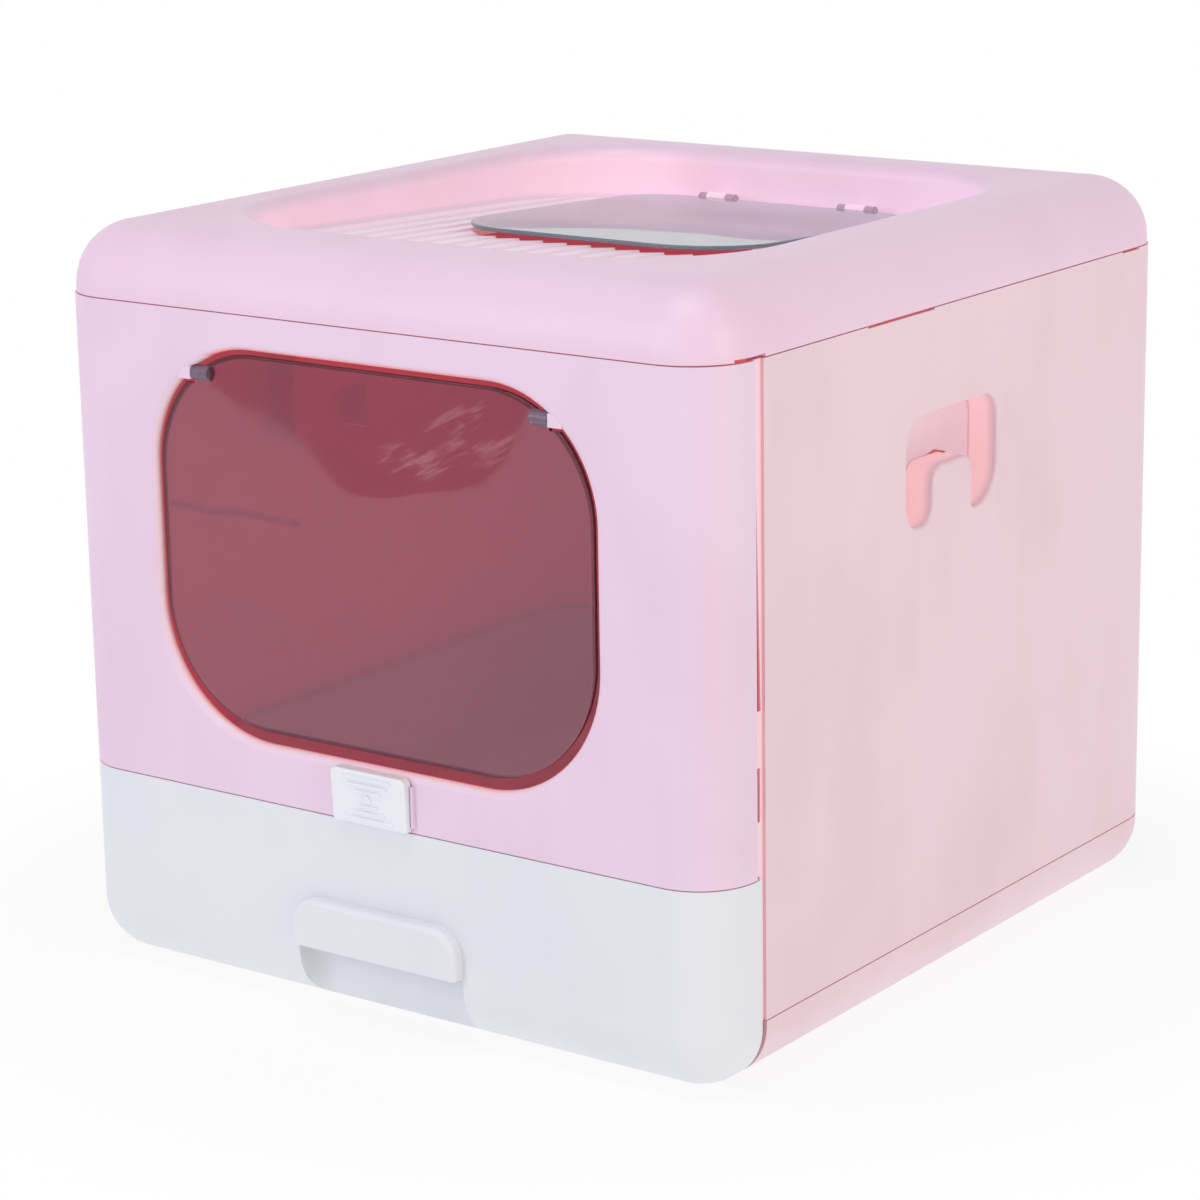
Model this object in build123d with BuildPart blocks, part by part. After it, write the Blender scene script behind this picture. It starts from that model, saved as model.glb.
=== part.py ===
"""Enclosed litter box with a slide-out drawer, a swing flap in front and a flip lid on top.

Frame: +X to the right, +Y to the back, +Z up, millimetres. The front faces -Y. The origin is
the centre of the outline, on the floor.
"""

import os
from math import cos, radians, sin

from build123d import *

# ---------------------------------------------------------------- outer body
WIDTH = 400.0
DEPTH = 430.0
HEIGHT = 384.0
FLOOR_GAP = 1.5  # the pads lift the underside this far off the floor
WALL = 3.0
BODY_CORNER_R = 31.0
BODY_FOOT_R = 30.0
BASE_SEAM = 34.2  # joint between the base and the wall panels
DRAWER_SEAM = 104.9  # joint between the drawer front and the front panel
COVER_SEAM = 348.6  # joint between the wall panels and the top cover
SEAM_HALF = 0.3  # half the height of each of these joints
PULL_PROUD = 7.0  # how far the drawer pull stands out of the front

BODY_Y = PULL_PROUD / 2
FRONT = BODY_Y - DEPTH / 2
BACK = BODY_Y + DEPTH / 2
SIDE = WIDTH / 2

# ---------------------------------------------------------------- panel joints
FRONT_RETURN = FRONT + 32.7  # where the front panel's returns end on the sides
SIDE_START = FRONT + 39.4  # where the side panels' outer skin starts
DRAWER_RETURN = FRONT + 36.2  # where the drawer front's returns end on the sides
BASE_START = FRONT + 39.8
STRIP_DEPTH = 1.6  # step down from the side's skin to its joint strip
STRIP_WALL = 3.5
BACK_JOINT_X = 166.2  # joint between a side panel and the rear panel, on the back
JOINT_GAP = 0.3
RIM_INSET = 3.5  # tongue on top of the panels, inside the cover
RIM_WALL = 2.4
RIM_RISE = 6.5
RIM_ROOT = 10.0
UPSTAND_INSET = 3.4  # tongue on top of the base, inside the panels
UPSTAND_WALL = 2.4
UPSTAND_TOP = 64.0
UPSTAND_ROOT = 6.0
UPSTAND_START = SIDE_START + 2.6
TONGUE_GRIP = 0.5  # how far a tongue's root reaches into the wall it stands on
TONGUE_OVERLAP = 1.6  # and into the tongue itself

# ---------------------------------------------------------------- top cover
COVER_CORNER_R = 33.0
COVER_CROWN_R = 32.0
COVER_WALL = 2.6
COVER_ROOF = 3.0
WELL_WIDTH = 296.0  # sunken well in the cover
WELL_DEPTH = 326.0
WELL_CORNER_R = 74.0
WELL_LIP_R = 8.0
DECK_TILT = 2.4  # degrees, the well's deck falls to the back
DECK_MID_Z = 361.6  # deck height at the middle of the body
DECK_WALL = 3.0
RIDGE_PITCH = 15.0
RIDGE_HEIGHT = 1.3
RIDGE_COUNT = 19
HATCH_WIDTH = 164.0  # entry hole in the deck
HATCH_FRONT = -40.0  # from here on the deck's own length, from the middle of the body
HATCH_BACK = 138.0
HATCH_CORNER_R = 28.0
REST_PAD_R = 3.0
REST_PAD_HEIGHT = 3.0
REST_PAD_X = 86.8
REST_PAD_Y = (-8.0, 104.0)
CORNER_RELIEF = 1.4  # the cover's lower edge is raised this much beside the front corners
CORNER_RELIEF_SPAN = (FRONT + 20, FRONT + 41)
CORNER_RELIEF_REACH = 8.0
RIDGE_ROOT = 1.0  # how far the ridges reach into the deck
RIDGE_FOOT = 0.05  # height of a ridge at its low side
RIDGE_DROP = 0.4  # width of a ridge's steep flank

# ---------------------------------------------------------------- flip lid
LID_HALF_WIDTH = 91.0
LID_FRONT = -41.0
LID_BACK = 147.5
LID_FRONT_R = 45.0
LID_BACK_R = 30.0
LID_WALL = 2.2
LID_LIFT = 3.2  # gap between the deck and the lid
LID_AXIS_Y = 152.5
LID_AXIS_Z = 4.0
LID_BARREL_R = 3.4
LID_LUG_WIDTH = 5.0
BRACKET_X = 45.0
BRACKET_WIDTH = 12.0
BRACKET_R = 3.8
LID_PIN_R = 1.6
PIN_CLEARANCE = 0.08

# ---------------------------------------------------------------- front opening and flap
OPENING_HALF_WIDTH = 134.0
OPENING_TOP = 331.0
OPENING_BOTTOM = 134.0
OPENING_TOP_R = 62.0
OPENING_BOTTOM_R = 68.0
OPENING_ROUND = 4.0  # rolled outer edge of the opening
LIP_WIDTH = 5.0
LIP_DEPTH = 5.5
FLAP_SIDE_GAP = 2.4
FLAP_TOP_GAP = 2.5
FLAP_BOTTOM_GAP = 6.0
FLAP_WALL = 2.4
FLAP_ROUND = 0.8
FLAP_AXIS_Y = FRONT + 4.0
FLAP_AXIS_Z = 317.0
KNUCKLE_R = 3.75
KNUCKLE_LENGTH = 10.4
KNUCKLE_ROOM = 14.0
PEG_R = 2.0
PEG_LENGTH = 6.0
EAR_X = 108.3
EAR_HALF_HEIGHT = 3.2
EAR_HALF_DEPTH = 3.6
EAR_ROOT = 8.0
NOTCH_X = 107.6
NOTCH_DROP = 5.4

# ---------------------------------------------------------------- lock
LOCK_TRAVEL = 6.0
LOCK_HALF_WIDTH = 23.0
LOCK_BOTTOM = 105.4
LOCK_TOP = 133.0
LOCK_BACK = FRONT - 0.6
LOCK_WALL_BOTTOM = 3.9  # the plate gets thicker towards its top
LOCK_WALL_TOP = 5.3
LOCK_TOP_R = 3.6
LOCK_FOOT_R = 2.0
LOCK_ROUND = 1.1
GRIP_PROUD = 0.9
GRIP_HEIGHT = 1.0
# length of each grip line and its height above the plate's lower edge
GRIP_LINES = ((30.0, 24.4), (24.0, 21.0), (16.0, 17.6), (12.0, 10.4), (20.0, 7.0), (31.0, 3.6))
ARROW_SIDE = 4.6
ARROW_RISE = 14.0
STEM_HALF_WIDTH = 8.0
STEM_BOTTOM = 118.0
STEM_TOP = 126.0
SLOT_GAP = 0.4
RETAINER_HALF_WIDTH = 14.0
RETAINER_BOTTOM = 116.2
RETAINER_TOP = 127.8
RETAINER_WALL = 2.0
RETAINER_CORNER_R = 2.5
LOCK_SCREW_X = 4.5
LOCK_SCREW_R = 1.0
LOCK_SCREW_HEAD_R = 1.9
LOCK_SCREW_HEAD = 1.4
LOCK_SCREW_BITE = 2.6  # how deep the screws go into the plate
RAIL_INNER_X = LOCK_HALF_WIDTH + 0.6
RAIL_WIDTH = 1.4
RAIL_PROUD = 2.0
RAIL_BOTTOM = 108.0
RAIL_TOP = 129.0

# ---------------------------------------------------------------- drawer
PULL_HALF_WIDTH = 51.5
PULL_BOTTOM = 36.6
PULL_TOP = 61.4
PULL_CORNER_R = 15.0
PULL_ROUND = 2.8
PULL_WALL = 3.0
SCOOP_HALF_WIDTH = 51.5  # finger hollow, below the pull
SCOOP_SHOULDER = 6.0  # it is this much narrower at each end behind the pull
SCOOP_TOP = 55.0
SCOOP_DEPTH = 16.0
SCOOP_CORNER_R = 10.0
SCOOP_REACH = 20.0  # the cutting form starts this far in front of the drawer
SCOOP_LINER = 2.5
HEADER_WALL = 2.5  # flanges that close the drawer front and the front panel at their joint
HEADER_DEPTH = 16.0
PAN_HALF_WIDTH = 187.0
PAN_RIM = 3.0
PAN_FRONT = FRONT + 20.5
PAN_BACK = BACK - 16.0
PAN_BOTTOM = 6.5
PAN_TOP = 98.0
PAN_WALL = 2.5
PAN_CORNER_R = 26.0
PAN_FOOT_R = 24.0
BOSS_R = 4.5
BOSS_X = 120.0
BOSS_Z = (37.0, 82.0)
SCREW_R = 1.5
SCREW_HEAD_R = 3.2
SCREW_HEAD = 2.0
SCREW_LENGTH = 13.0
GLIDE_X = 140.0
GLIDE_WIDTH = 12.0
GLIDE_HEIGHT = 1.7
GLIDE_CHAMFER = 0.5
GLIDE_START = BASE_START + 6
GLIDE_END = PAN_BACK - 20

# ---------------------------------------------------------------- side hook recess
HOOK_DEPTH = 17.0
HOOK_LINER = 2.5
HOOK_ROUND = 1.8
HOOK_FRONT = FRONT + 163.7
HOOK_BACK = HOOK_FRONT + 86.3
HOOK_BOTTOM = 243.0
HOOK_TOP = 297.5
TONGUE_FRONT = HOOK_FRONT + 24.8
TONGUE_BACK = HOOK_FRONT + 61.8
TONGUE_TOP = 270.5

# ---------------------------------------------------------------- pads
PAD_R = 12.0
PAD_SINK = 0.8
PAD_X = 140.0
PAD_INSET_FRONT = 75.0
PAD_INSET_BACK = 45.0
PAD_CHAMFER = 0.5


def plan(height):
    """Horizontal plane at a height, centred on the body."""
    return Plane((0, BODY_Y, height))


def front_plane(inset=0.0):
    """Upright plane behind the front face, with its normal towards the viewer."""
    return Plane.XZ.offset(-FRONT - inset)


def deck_plane(lift=0.0):
    """Plane of the tilted deck, raised by lift, with its Y axis running down to the back."""
    normal = (0, sin(radians(DECK_TILT)), cos(radians(DECK_TILT)))
    return Plane((0, BODY_Y, DECK_MID_Z), x_dir=(1, 0, 0), z_dir=normal).offset(lift)


def block(x_span, y_span, z_span, mode=Mode.ADD):
    """A box given by its low and high ends along each axis."""
    spans = (x_span, y_span, z_span)
    middle = [(low + high) / 2 for low, high in spans]
    sides = [high - low for low, high in spans]
    with Locations(tuple(middle)):
        Box(*sides, mode=mode)


def mirrored(side, near, far):
    """A span on X, on the right for side 1 and on the left for side -1."""
    return tuple(sorted((side * near, side * far)))


def rounded_block(bottom, top, inset, corner_r, foot_r=0.0, crown_r=0.0):
    """The body's outline drawn in by inset, as a block with rounded corners and edges."""
    with BuildPart() as shape:
        with BuildSketch(plan(bottom)):
            RectangleRounded(WIDTH - 2 * inset, DEPTH - 2 * inset, corner_r)
        extrude(amount=top - bottom)
        if foot_r:
            fillet(shape.faces().sort_by(Axis.Z)[0].edges(), foot_r)
        if crown_r:
            fillet(shape.faces().sort_by(Axis.Z)[-1].edges(), crown_r)
    return shape.part


def ring(bottom, top, inset, wall, corner_r=BODY_CORNER_R):
    """A band of even wall that follows the body's outline, drawn in by inset."""
    outer = rounded_block(bottom, top, inset, corner_r - inset)
    inner = rounded_block(bottom, top, inset + wall, corner_r - inset - wall)
    return outer - inner


def tongue_ring(bottom, root_top, top, inset, wall, corner_r=BODY_CORNER_R):
    """A tongue that runs round inside the body's wall, joined to the wall up to root_top."""
    root_inset = WALL - TONGUE_GRIP
    root = ring(bottom, root_top, root_inset, inset + TONGUE_OVERLAP - root_inset)
    return ring(bottom, top, inset, wall, corner_r) + root


def opening_profile(side, top, bottom, top_r, bottom_r):
    """Front view of the opening or of the flap: a rectangle with large round corners."""
    with BuildSketch() as profile:
        with Locations((0, (top + bottom) / 2)):
            Rectangle(2 * side, top - bottom)
        fillet(profile.vertices().group_by(Axis.Y)[-1], top_r)
        fillet(profile.vertices().group_by(Axis.Y)[0], bottom_r)
    return profile.sketch


# ================================================================ shared forms
body_form = rounded_block(FLOOR_GAP, COVER_SEAM - SEAM_HALF, 0, BODY_CORNER_R, foot_r=BODY_FOOT_R)
body_void = rounded_block(
    FLOOR_GAP + WALL, HEIGHT, WALL, BODY_CORNER_R - WALL, foot_r=BODY_FOOT_R - WALL
)
body_shell = body_form - body_void
rim_ring = tongue_ring(
    COVER_SEAM - RIM_ROOT,
    COVER_SEAM - SEAM_HALF,
    COVER_SEAM + RIM_RISE,
    RIM_INSET,
    RIM_WALL,
    COVER_CORNER_R,
)
upstand_ring = tongue_ring(
    BASE_SEAM - UPSTAND_ROOT, BASE_SEAM - SEAM_HALF, UPSTAND_TOP, UPSTAND_INSET, UPSTAND_WALL
)

# ================================================================ base tray
PAD_SPOTS = [
    (x, y) for x in (-PAD_X, PAD_X) for y in (FRONT + PAD_INSET_FRONT, BACK - PAD_INSET_BACK)
]

with BuildPart() as base_tray:
    add(body_shell)
    block((-SIDE, SIDE), (BASE_START, BACK), (0, BASE_SEAM - SEAM_HALF), mode=Mode.INTERSECT)
    with BuildPart(mode=Mode.PRIVATE) as tongues:
        add(upstand_ring)
        block((-SIDE, SIDE), (UPSTAND_START, BACK), (0, UPSTAND_TOP), mode=Mode.INTERSECT)
    add(tongues.part)
    with BuildSketch(Plane.XY.offset(FLOOR_GAP)):
        with Locations(*PAD_SPOTS):
            Circle(PAD_R)
    extrude(amount=PAD_SINK, mode=Mode.SUBTRACT)
base_tray.part.label = "base_tray"

with BuildPart() as anti_slip_pads:
    with BuildSketch():
        with Locations(*PAD_SPOTS):
            Circle(PAD_R)
    extrude(amount=FLOOR_GAP + PAD_SINK)
    chamfer(anti_slip_pads.faces().group_by(Axis.Z)[0].edges(), PAD_CHAMFER)
anti_slip_pads.part.label = "anti_slip_pads"


def drawer_glide(x):
    """Low slippery strip on the base floor that the pan runs on."""
    floor = FLOOR_GAP + WALL
    with BuildPart() as strip:
        block(
            (x - GLIDE_WIDTH / 2, x + GLIDE_WIDTH / 2),
            (GLIDE_START, GLIDE_END),
            (floor, floor + GLIDE_HEIGHT),
        )
        chamfer(strip.faces().sort_by(Axis.Z)[-1].edges(), GLIDE_CHAMFER)
    return strip.part


drawer_glide_left = drawer_glide(-GLIDE_X)
drawer_glide_left.label = "drawer_glide_left"
drawer_glide_right = drawer_glide(GLIDE_X)
drawer_glide_right.label = "drawer_glide_right"

# ================================================================ side panels
HOOK_CORNERS = [
    (HOOK_FRONT, HOOK_BOTTOM),
    (TONGUE_FRONT, HOOK_BOTTOM),
    (TONGUE_FRONT, TONGUE_TOP),
    (TONGUE_BACK, TONGUE_TOP),
    (TONGUE_BACK, HOOK_BOTTOM),
    (HOOK_BACK, HOOK_BOTTOM),
    (HOOK_BACK, HOOK_TOP),
    (HOOK_FRONT, HOOK_TOP),
]
HOOK_RADII = [12.0, 10.0, 9.0, 8.0, 3.0, 20.0, 12.0, 15.0]
SLIT_CORNERS = [(42.0, 269.8), (53.5, 272.0), (65.0, 268.8), (54.5, 266.8)]
SLIT_DEPTH = 1.8
WEDGE_TOP = 298.0  # see-through gap beside the front panel's return
WEDGE_BOTTOM = 185.0
WEDGE_WIDTH_TOP = 2.2
WEDGE_WIDTH_BOTTOM = 5.4
LOWER_GAP_SPAN = (132.0, 158.0)
LOWER_GAP_WIDTH = 4.6
TOP_RELIEFS = ((FRONT + 128, FRONT + 188), (BACK - 52, BACK - 34))
TOP_RELIEF_DEPTH = 0.8
SEE_IN_REACH = 12.0  # how far these gaps reach inwards
LAP_WALL = 3.2  # tongue that runs on behind the front panel's return
LAP_GAP = 0.4
LAP_REACH = 3.7
LAP_BOTTOM = DRAWER_SEAM + 1
LAP_TOP = COVER_SEAM - RIM_ROOT - 0.6

with BuildSketch() as hook_profile:
    with BuildLine():
        FilletPolyline(*HOOK_CORNERS, radius=HOOK_RADII, close=True)
    make_face()

with BuildPart() as side_panel_right:
    top = COVER_SEAM - SEAM_HALF
    bottom = BASE_SEAM + SEAM_HALF
    strip_outer = SIDE - STRIP_DEPTH
    add(body_shell)
    block((BACK_JOINT_X, SIDE), (SIDE_START, BACK), (bottom, top), mode=Mode.INTERSECT)
    # joint strip beside the front panel, and the tongue that runs on behind its return
    block(
        (strip_outer - STRIP_WALL, strip_outer),
        (DRAWER_RETURN + JOINT_GAP, SIDE_START + 2),
        (bottom, top),
    )
    block(
        (strip_outer - STRIP_WALL, strip_outer),
        (FRONT_RETURN + JOINT_GAP, SIDE_START + 2),
        (LAP_BOTTOM, top),
    )
    block(
        (SIDE - WALL - LAP_GAP - LAP_WALL, SIDE - WALL - LAP_GAP),
        (FRONT_RETURN - LAP_REACH, SIDE_START),
        (LAP_BOTTOM, LAP_TOP),
    )
    # tongue inside the cover
    with BuildPart(mode=Mode.PRIVATE) as side_rim:
        add(rim_ring)
        block((BACK_JOINT_X, SIDE), (SIDE_START, BACK), (0, HEIGHT), mode=Mode.INTERSECT)
    add(side_rim.part)
    # hook recess with its liner
    with BuildSketch(Plane.YZ.offset(SIDE - HOOK_DEPTH - HOOK_LINER)):
        add(hook_profile.sketch)
        offset(amount=HOOK_LINER)
    extrude(amount=HOOK_DEPTH + HOOK_LINER - WALL / 2)
    with BuildSketch(Plane.YZ.offset(SIDE)):
        add(hook_profile.sketch)
    extrude(amount=-HOOK_DEPTH, mode=Mode.SUBTRACT)
    mouth = side_panel_right.edges().filter_by_position(Axis.X, SIDE - 0.01, SIDE + 0.01)
    mouth = mouth.filter_by_position(Axis.Y, HOOK_FRONT - 1, HOOK_BACK + 1)
    mouth = mouth.filter_by_position(Axis.Z, HOOK_BOTTOM - 1, HOOK_TOP + 1)
    fillet(mouth, HOOK_ROUND)
    with BuildSketch(Plane.YZ.offset(SIDE - HOOK_DEPTH)):
        with BuildLine():
            Polyline(*[(HOOK_FRONT + y, z) for y, z in SLIT_CORNERS], close=True)
        make_face()
    extrude(amount=-SLIT_DEPTH, mode=Mode.SUBTRACT)
    # slender gaps that let one see in beside the front panel
    with BuildSketch(Plane.YZ.offset(SIDE + 1)):
        with BuildLine():
            Polyline(
                (FRONT_RETURN, WEDGE_TOP),
                (FRONT_RETURN, WEDGE_BOTTOM),
                (FRONT_RETURN + WEDGE_WIDTH_BOTTOM, WEDGE_BOTTOM),
                (FRONT_RETURN + WEDGE_WIDTH_TOP, WEDGE_TOP),
                close=True,
            )
        make_face()
    extrude(amount=-SEE_IN_REACH, mode=Mode.SUBTRACT)
    block(
        (SIDE + 1 - SEE_IN_REACH, SIDE + 1),
        (FRONT_RETURN, FRONT_RETURN + LOWER_GAP_WIDTH),
        LOWER_GAP_SPAN,
        mode=Mode.SUBTRACT,
    )
    # shallow reliefs in the top edge
    for relief in TOP_RELIEFS:
        block((SIDE - WALL + 0.1, SIDE + 1), relief, (top - TOP_RELIEF_DEPTH, top), mode=Mode.SUBTRACT)
side_panel_right.part.label = "side_panel_right"

with BuildPart() as side_panel_left:
    add(mirror(side_panel_right.part, about=Plane.YZ, mode=Mode.PRIVATE))
side_panel_left.part.label = "side_panel_left"

# ================================================================ rear panel
FIELD_WIDTH = 280.0
FIELD_HEIGHT = 236.0
FIELD_R = 22.0
FIELD_SINK = 0.8
REAR_LAP_ROOT = 6.0  # tongues behind the edges of the side panels
REAR_LAP_REACH = 5.0
REAR_LAP_WALL = 2.5
REAR_LAP_GAP = 0.5
REAR_LAP_SPAN = (UPSTAND_TOP + 6, COVER_SEAM - RIM_ROOT - 2)

with BuildPart() as rear_panel:
    half = BACK_JOINT_X - 2 * SEAM_HALF
    add(body_shell)
    block(
        (-half, half),
        (BACK - 2 * WALL, BACK),
        (BASE_SEAM + SEAM_HALF, COVER_SEAM - SEAM_HALF),
        mode=Mode.INTERSECT,
    )
    with BuildPart(mode=Mode.PRIVATE) as rear_rim:
        add(rim_ring)
        block((-half, half), (BACK - 3 * WALL, BACK), (0, HEIGHT), mode=Mode.INTERSECT)
    add(rear_rim.part)
    # a tongue at each side, and the root that joins it to the wall
    lap_face = BACK - WALL - REAR_LAP_GAP
    for side in (-1, 1):
        block(
            mirrored(side, half - REAR_LAP_ROOT, half + REAR_LAP_REACH),
            (lap_face - REAR_LAP_WALL, lap_face),
            REAR_LAP_SPAN,
        )
        block(
            mirrored(side, half - REAR_LAP_ROOT, half),
            (lap_face - REAR_LAP_GAP, BACK - WALL / 2),
            REAR_LAP_SPAN,
        )
    with BuildSketch(Plane.XZ.offset(-BACK)):
        with Locations((0, (BASE_SEAM + COVER_SEAM) / 2)):
            RectangleRounded(FIELD_WIDTH, FIELD_HEIGHT, FIELD_R)
    extrude(amount=FIELD_SINK, mode=Mode.SUBTRACT)
rear_panel.part.label = "rear_panel"

# ================================================================ front panel
opening = opening_profile(
    OPENING_HALF_WIDTH, OPENING_TOP, OPENING_BOTTOM, OPENING_TOP_R, OPENING_BOTTOM_R
)
SLOT_BOTTOM = STEM_BOTTOM - LOCK_TRAVEL - SLOT_GAP
SLOT_TOP = STEM_TOP + SLOT_GAP

with BuildPart() as front_panel:
    bottom = DRAWER_SEAM + SEAM_HALF
    add(body_shell)
    block(
        (-SIDE, SIDE), (FRONT, FRONT_RETURN), (bottom, COVER_SEAM - SEAM_HALF), mode=Mode.INTERSECT
    )
    # flange that closes the bottom over the drawer, and the tongue inside the cover
    with BuildPart(mode=Mode.PRIVATE) as header:
        add(body_form)
        block(
            (-SIDE, SIDE),
            (FRONT, FRONT + HEADER_DEPTH),
            (bottom, bottom + HEADER_WALL),
            mode=Mode.INTERSECT,
        )
    add(header.part)
    with BuildPart(mode=Mode.PRIVATE) as front_rim:
        add(rim_ring)
        block((-SIDE, SIDE), (FRONT, FRONT + BODY_CORNER_R), (0, HEIGHT), mode=Mode.INTERSECT)
    add(front_rim.part)
    # opening with its rolled lip
    with BuildSketch(front_plane()):
        add(opening)
        offset(amount=LIP_WIDTH)
    extrude(amount=-LIP_DEPTH)
    with BuildSketch(front_plane(-1)):
        add(opening)
    extrude(amount=-LIP_DEPTH - 2, mode=Mode.SUBTRACT)
    edge = front_panel.edges().filter_by_position(Axis.Y, FRONT - 0.01, FRONT + 0.01)
    edge = edge.filter_by_position(Axis.Z, OPENING_BOTTOM - 1, OPENING_TOP + 1)
    edge = edge.filter_by_position(Axis.X, -OPENING_HALF_WIDTH - 1, OPENING_HALF_WIDTH + 1)
    fillet(edge, OPENING_ROUND)
    # ears and pegs that carry the flap, with room for the flap's knuckles beside them
    for side in (-1, 1):
        with Locations((side * (EAR_X - KNUCKLE_ROOM / 2), FLAP_AXIS_Y, FLAP_AXIS_Z)):
            Cylinder(KNUCKLE_R + 0.6, KNUCKLE_ROOM, rotation=(0, 90, 0), mode=Mode.SUBTRACT)
        block(
            mirrored(side, EAR_X, EAR_X + EAR_ROOT),
            (FLAP_AXIS_Y - EAR_HALF_DEPTH, FLAP_AXIS_Y + EAR_HALF_DEPTH),
            (FLAP_AXIS_Z - EAR_HALF_HEIGHT, FLAP_AXIS_Z + EAR_HALF_HEIGHT),
        )
        with Locations((side * (EAR_X + 1 - PEG_LENGTH / 2), FLAP_AXIS_Y, FLAP_AXIS_Z)):
            Cylinder(PEG_R, PEG_LENGTH + 2, rotation=(0, 90, 0))
        block(
            mirrored(side, RAIL_INNER_X, RAIL_INNER_X + RAIL_WIDTH),
            (FRONT - RAIL_PROUD, FRONT + 1),
            (RAIL_BOTTOM, RAIL_TOP),
        )
    # slot for the lock's stem
    block(
        (-STEM_HALF_WIDTH - SLOT_GAP, STEM_HALF_WIDTH + SLOT_GAP),
        (FRONT - 1, FRONT + WALL + 1),
        (SLOT_BOTTOM, SLOT_TOP),
        mode=Mode.SUBTRACT,
    )
front_panel.part.label = "front_panel"

# ================================================================ front flap
flap_outline = opening_profile(
    OPENING_HALF_WIDTH - FLAP_SIDE_GAP,
    OPENING_TOP - FLAP_TOP_GAP,
    OPENING_BOTTOM + FLAP_BOTTOM_GAP,
    OPENING_TOP_R - FLAP_SIDE_GAP,
    OPENING_BOTTOM_R - FLAP_SIDE_GAP,
)
SOCKET_END = NOTCH_X + JOINT_GAP
KNUCKLE_X = SOCKET_END - KNUCKLE_LENGTH / 2

with BuildPart() as front_flap:
    with BuildSketch(Plane.XZ.offset(-FLAP_AXIS_Y + FLAP_WALL / 2)):
        add(flap_outline)
    extrude(amount=-FLAP_WALL)
    fillet(front_flap.faces().filter_by(Axis.Y).edges(), FLAP_ROUND)
    for side in (-1, 1):
        block(
            mirrored(side, NOTCH_X, OPENING_HALF_WIDTH),
            (FLAP_AXIS_Y - FLAP_WALL, FLAP_AXIS_Y + FLAP_WALL),
            (FLAP_AXIS_Z - NOTCH_DROP, OPENING_TOP),
            mode=Mode.SUBTRACT,
        )
        with Locations((side * KNUCKLE_X, FLAP_AXIS_Y, FLAP_AXIS_Z)):
            Cylinder(KNUCKLE_R, KNUCKLE_LENGTH, rotation=(0, 90, 0))
        socket_depth = SOCKET_END - EAR_X + PEG_LENGTH + 1
        with Locations((side * (SOCKET_END - socket_depth / 2), FLAP_AXIS_Y, FLAP_AXIS_Z)):
            Cylinder(PEG_R + PIN_CLEARANCE, socket_depth, rotation=(0, 90, 0), mode=Mode.SUBTRACT)
front_flap.part.label = "front_flap"

# ================================================================ lock
LOCK_SCREW_SPOTS = [(x, (STEM_BOTTOM + STEM_TOP) / 2) for x in (-LOCK_SCREW_X, LOCK_SCREW_X)]

# the plate's outer face, from its lower edge upwards; its top stands out further
lock_face = Plane(
    (0, LOCK_BACK - LOCK_WALL_BOTTOM, LOCK_BOTTOM),
    x_dir=(1, 0, 0),
    z_dir=(0, LOCK_BOTTOM - LOCK_TOP, LOCK_WALL_BOTTOM - LOCK_WALL_TOP),
)

with BuildPart() as lock_slider:
    with BuildSketch(Plane.YZ.offset(-LOCK_HALF_WIDTH)):
        with BuildLine():
            Polyline(
                (LOCK_BACK, LOCK_BOTTOM),
                (LOCK_BACK - LOCK_WALL_BOTTOM, LOCK_BOTTOM),
                (LOCK_BACK - LOCK_WALL_TOP, LOCK_TOP),
                (LOCK_BACK, LOCK_TOP),
                close=True,
            )
        make_face()
    extrude(amount=2 * LOCK_HALF_WIDTH)
    fillet(lock_slider.edges().filter_by(Axis.Y).group_by(Axis.Z)[-1], LOCK_TOP_R)
    fillet(lock_slider.edges().filter_by(Axis.Y).group_by(Axis.Z)[0], LOCK_FOOT_R)
    fillet(lock_slider.faces().sort_by(Axis.Y)[0].edges(), LOCK_ROUND)
    # moulded grip lines around a small arrow
    with BuildSketch(lock_face):
        for length, rise in GRIP_LINES:
            with Locations((0, rise)):
                SlotOverall(length, GRIP_HEIGHT)
        with Locations((0, ARROW_RISE)):
            Triangle(a=ARROW_SIDE, b=ARROW_SIDE, c=ARROW_SIDE)
    extrude(amount=GRIP_PROUD)
    # blind holes for the screws that come from behind
    with BuildSketch(Plane.XZ.offset(-LOCK_BACK)):
        with Locations(*LOCK_SCREW_SPOTS):
            Circle(LOCK_SCREW_R)
    extrude(amount=LOCK_SCREW_BITE, mode=Mode.SUBTRACT)
lock_slider.part.label = "lock_slider"

RETAINER_FRONT = FRONT + WALL + JOINT_GAP
RETAINER_BACK = RETAINER_FRONT + RETAINER_WALL

with BuildPart() as lock_retainer:
    block(
        (-RETAINER_HALF_WIDTH, RETAINER_HALF_WIDTH),
        (RETAINER_FRONT, RETAINER_BACK),
        (RETAINER_BOTTOM, RETAINER_TOP),
    )
    fillet(lock_retainer.edges().filter_by(Axis.Y), RETAINER_CORNER_R)
    # stem that reaches through the front panel's slot to the plate
    block(
        (-STEM_HALF_WIDTH, STEM_HALF_WIDTH),
        (LOCK_BACK, RETAINER_FRONT),
        (STEM_BOTTOM, STEM_TOP),
    )
    with BuildSketch(Plane.XZ.offset(-RETAINER_BACK)):
        with Locations(*LOCK_SCREW_SPOTS):
            Circle(LOCK_SCREW_R)
    extrude(amount=RETAINER_BACK - LOCK_BACK, mode=Mode.SUBTRACT)
lock_retainer.part.label = "lock_retainer"

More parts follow.
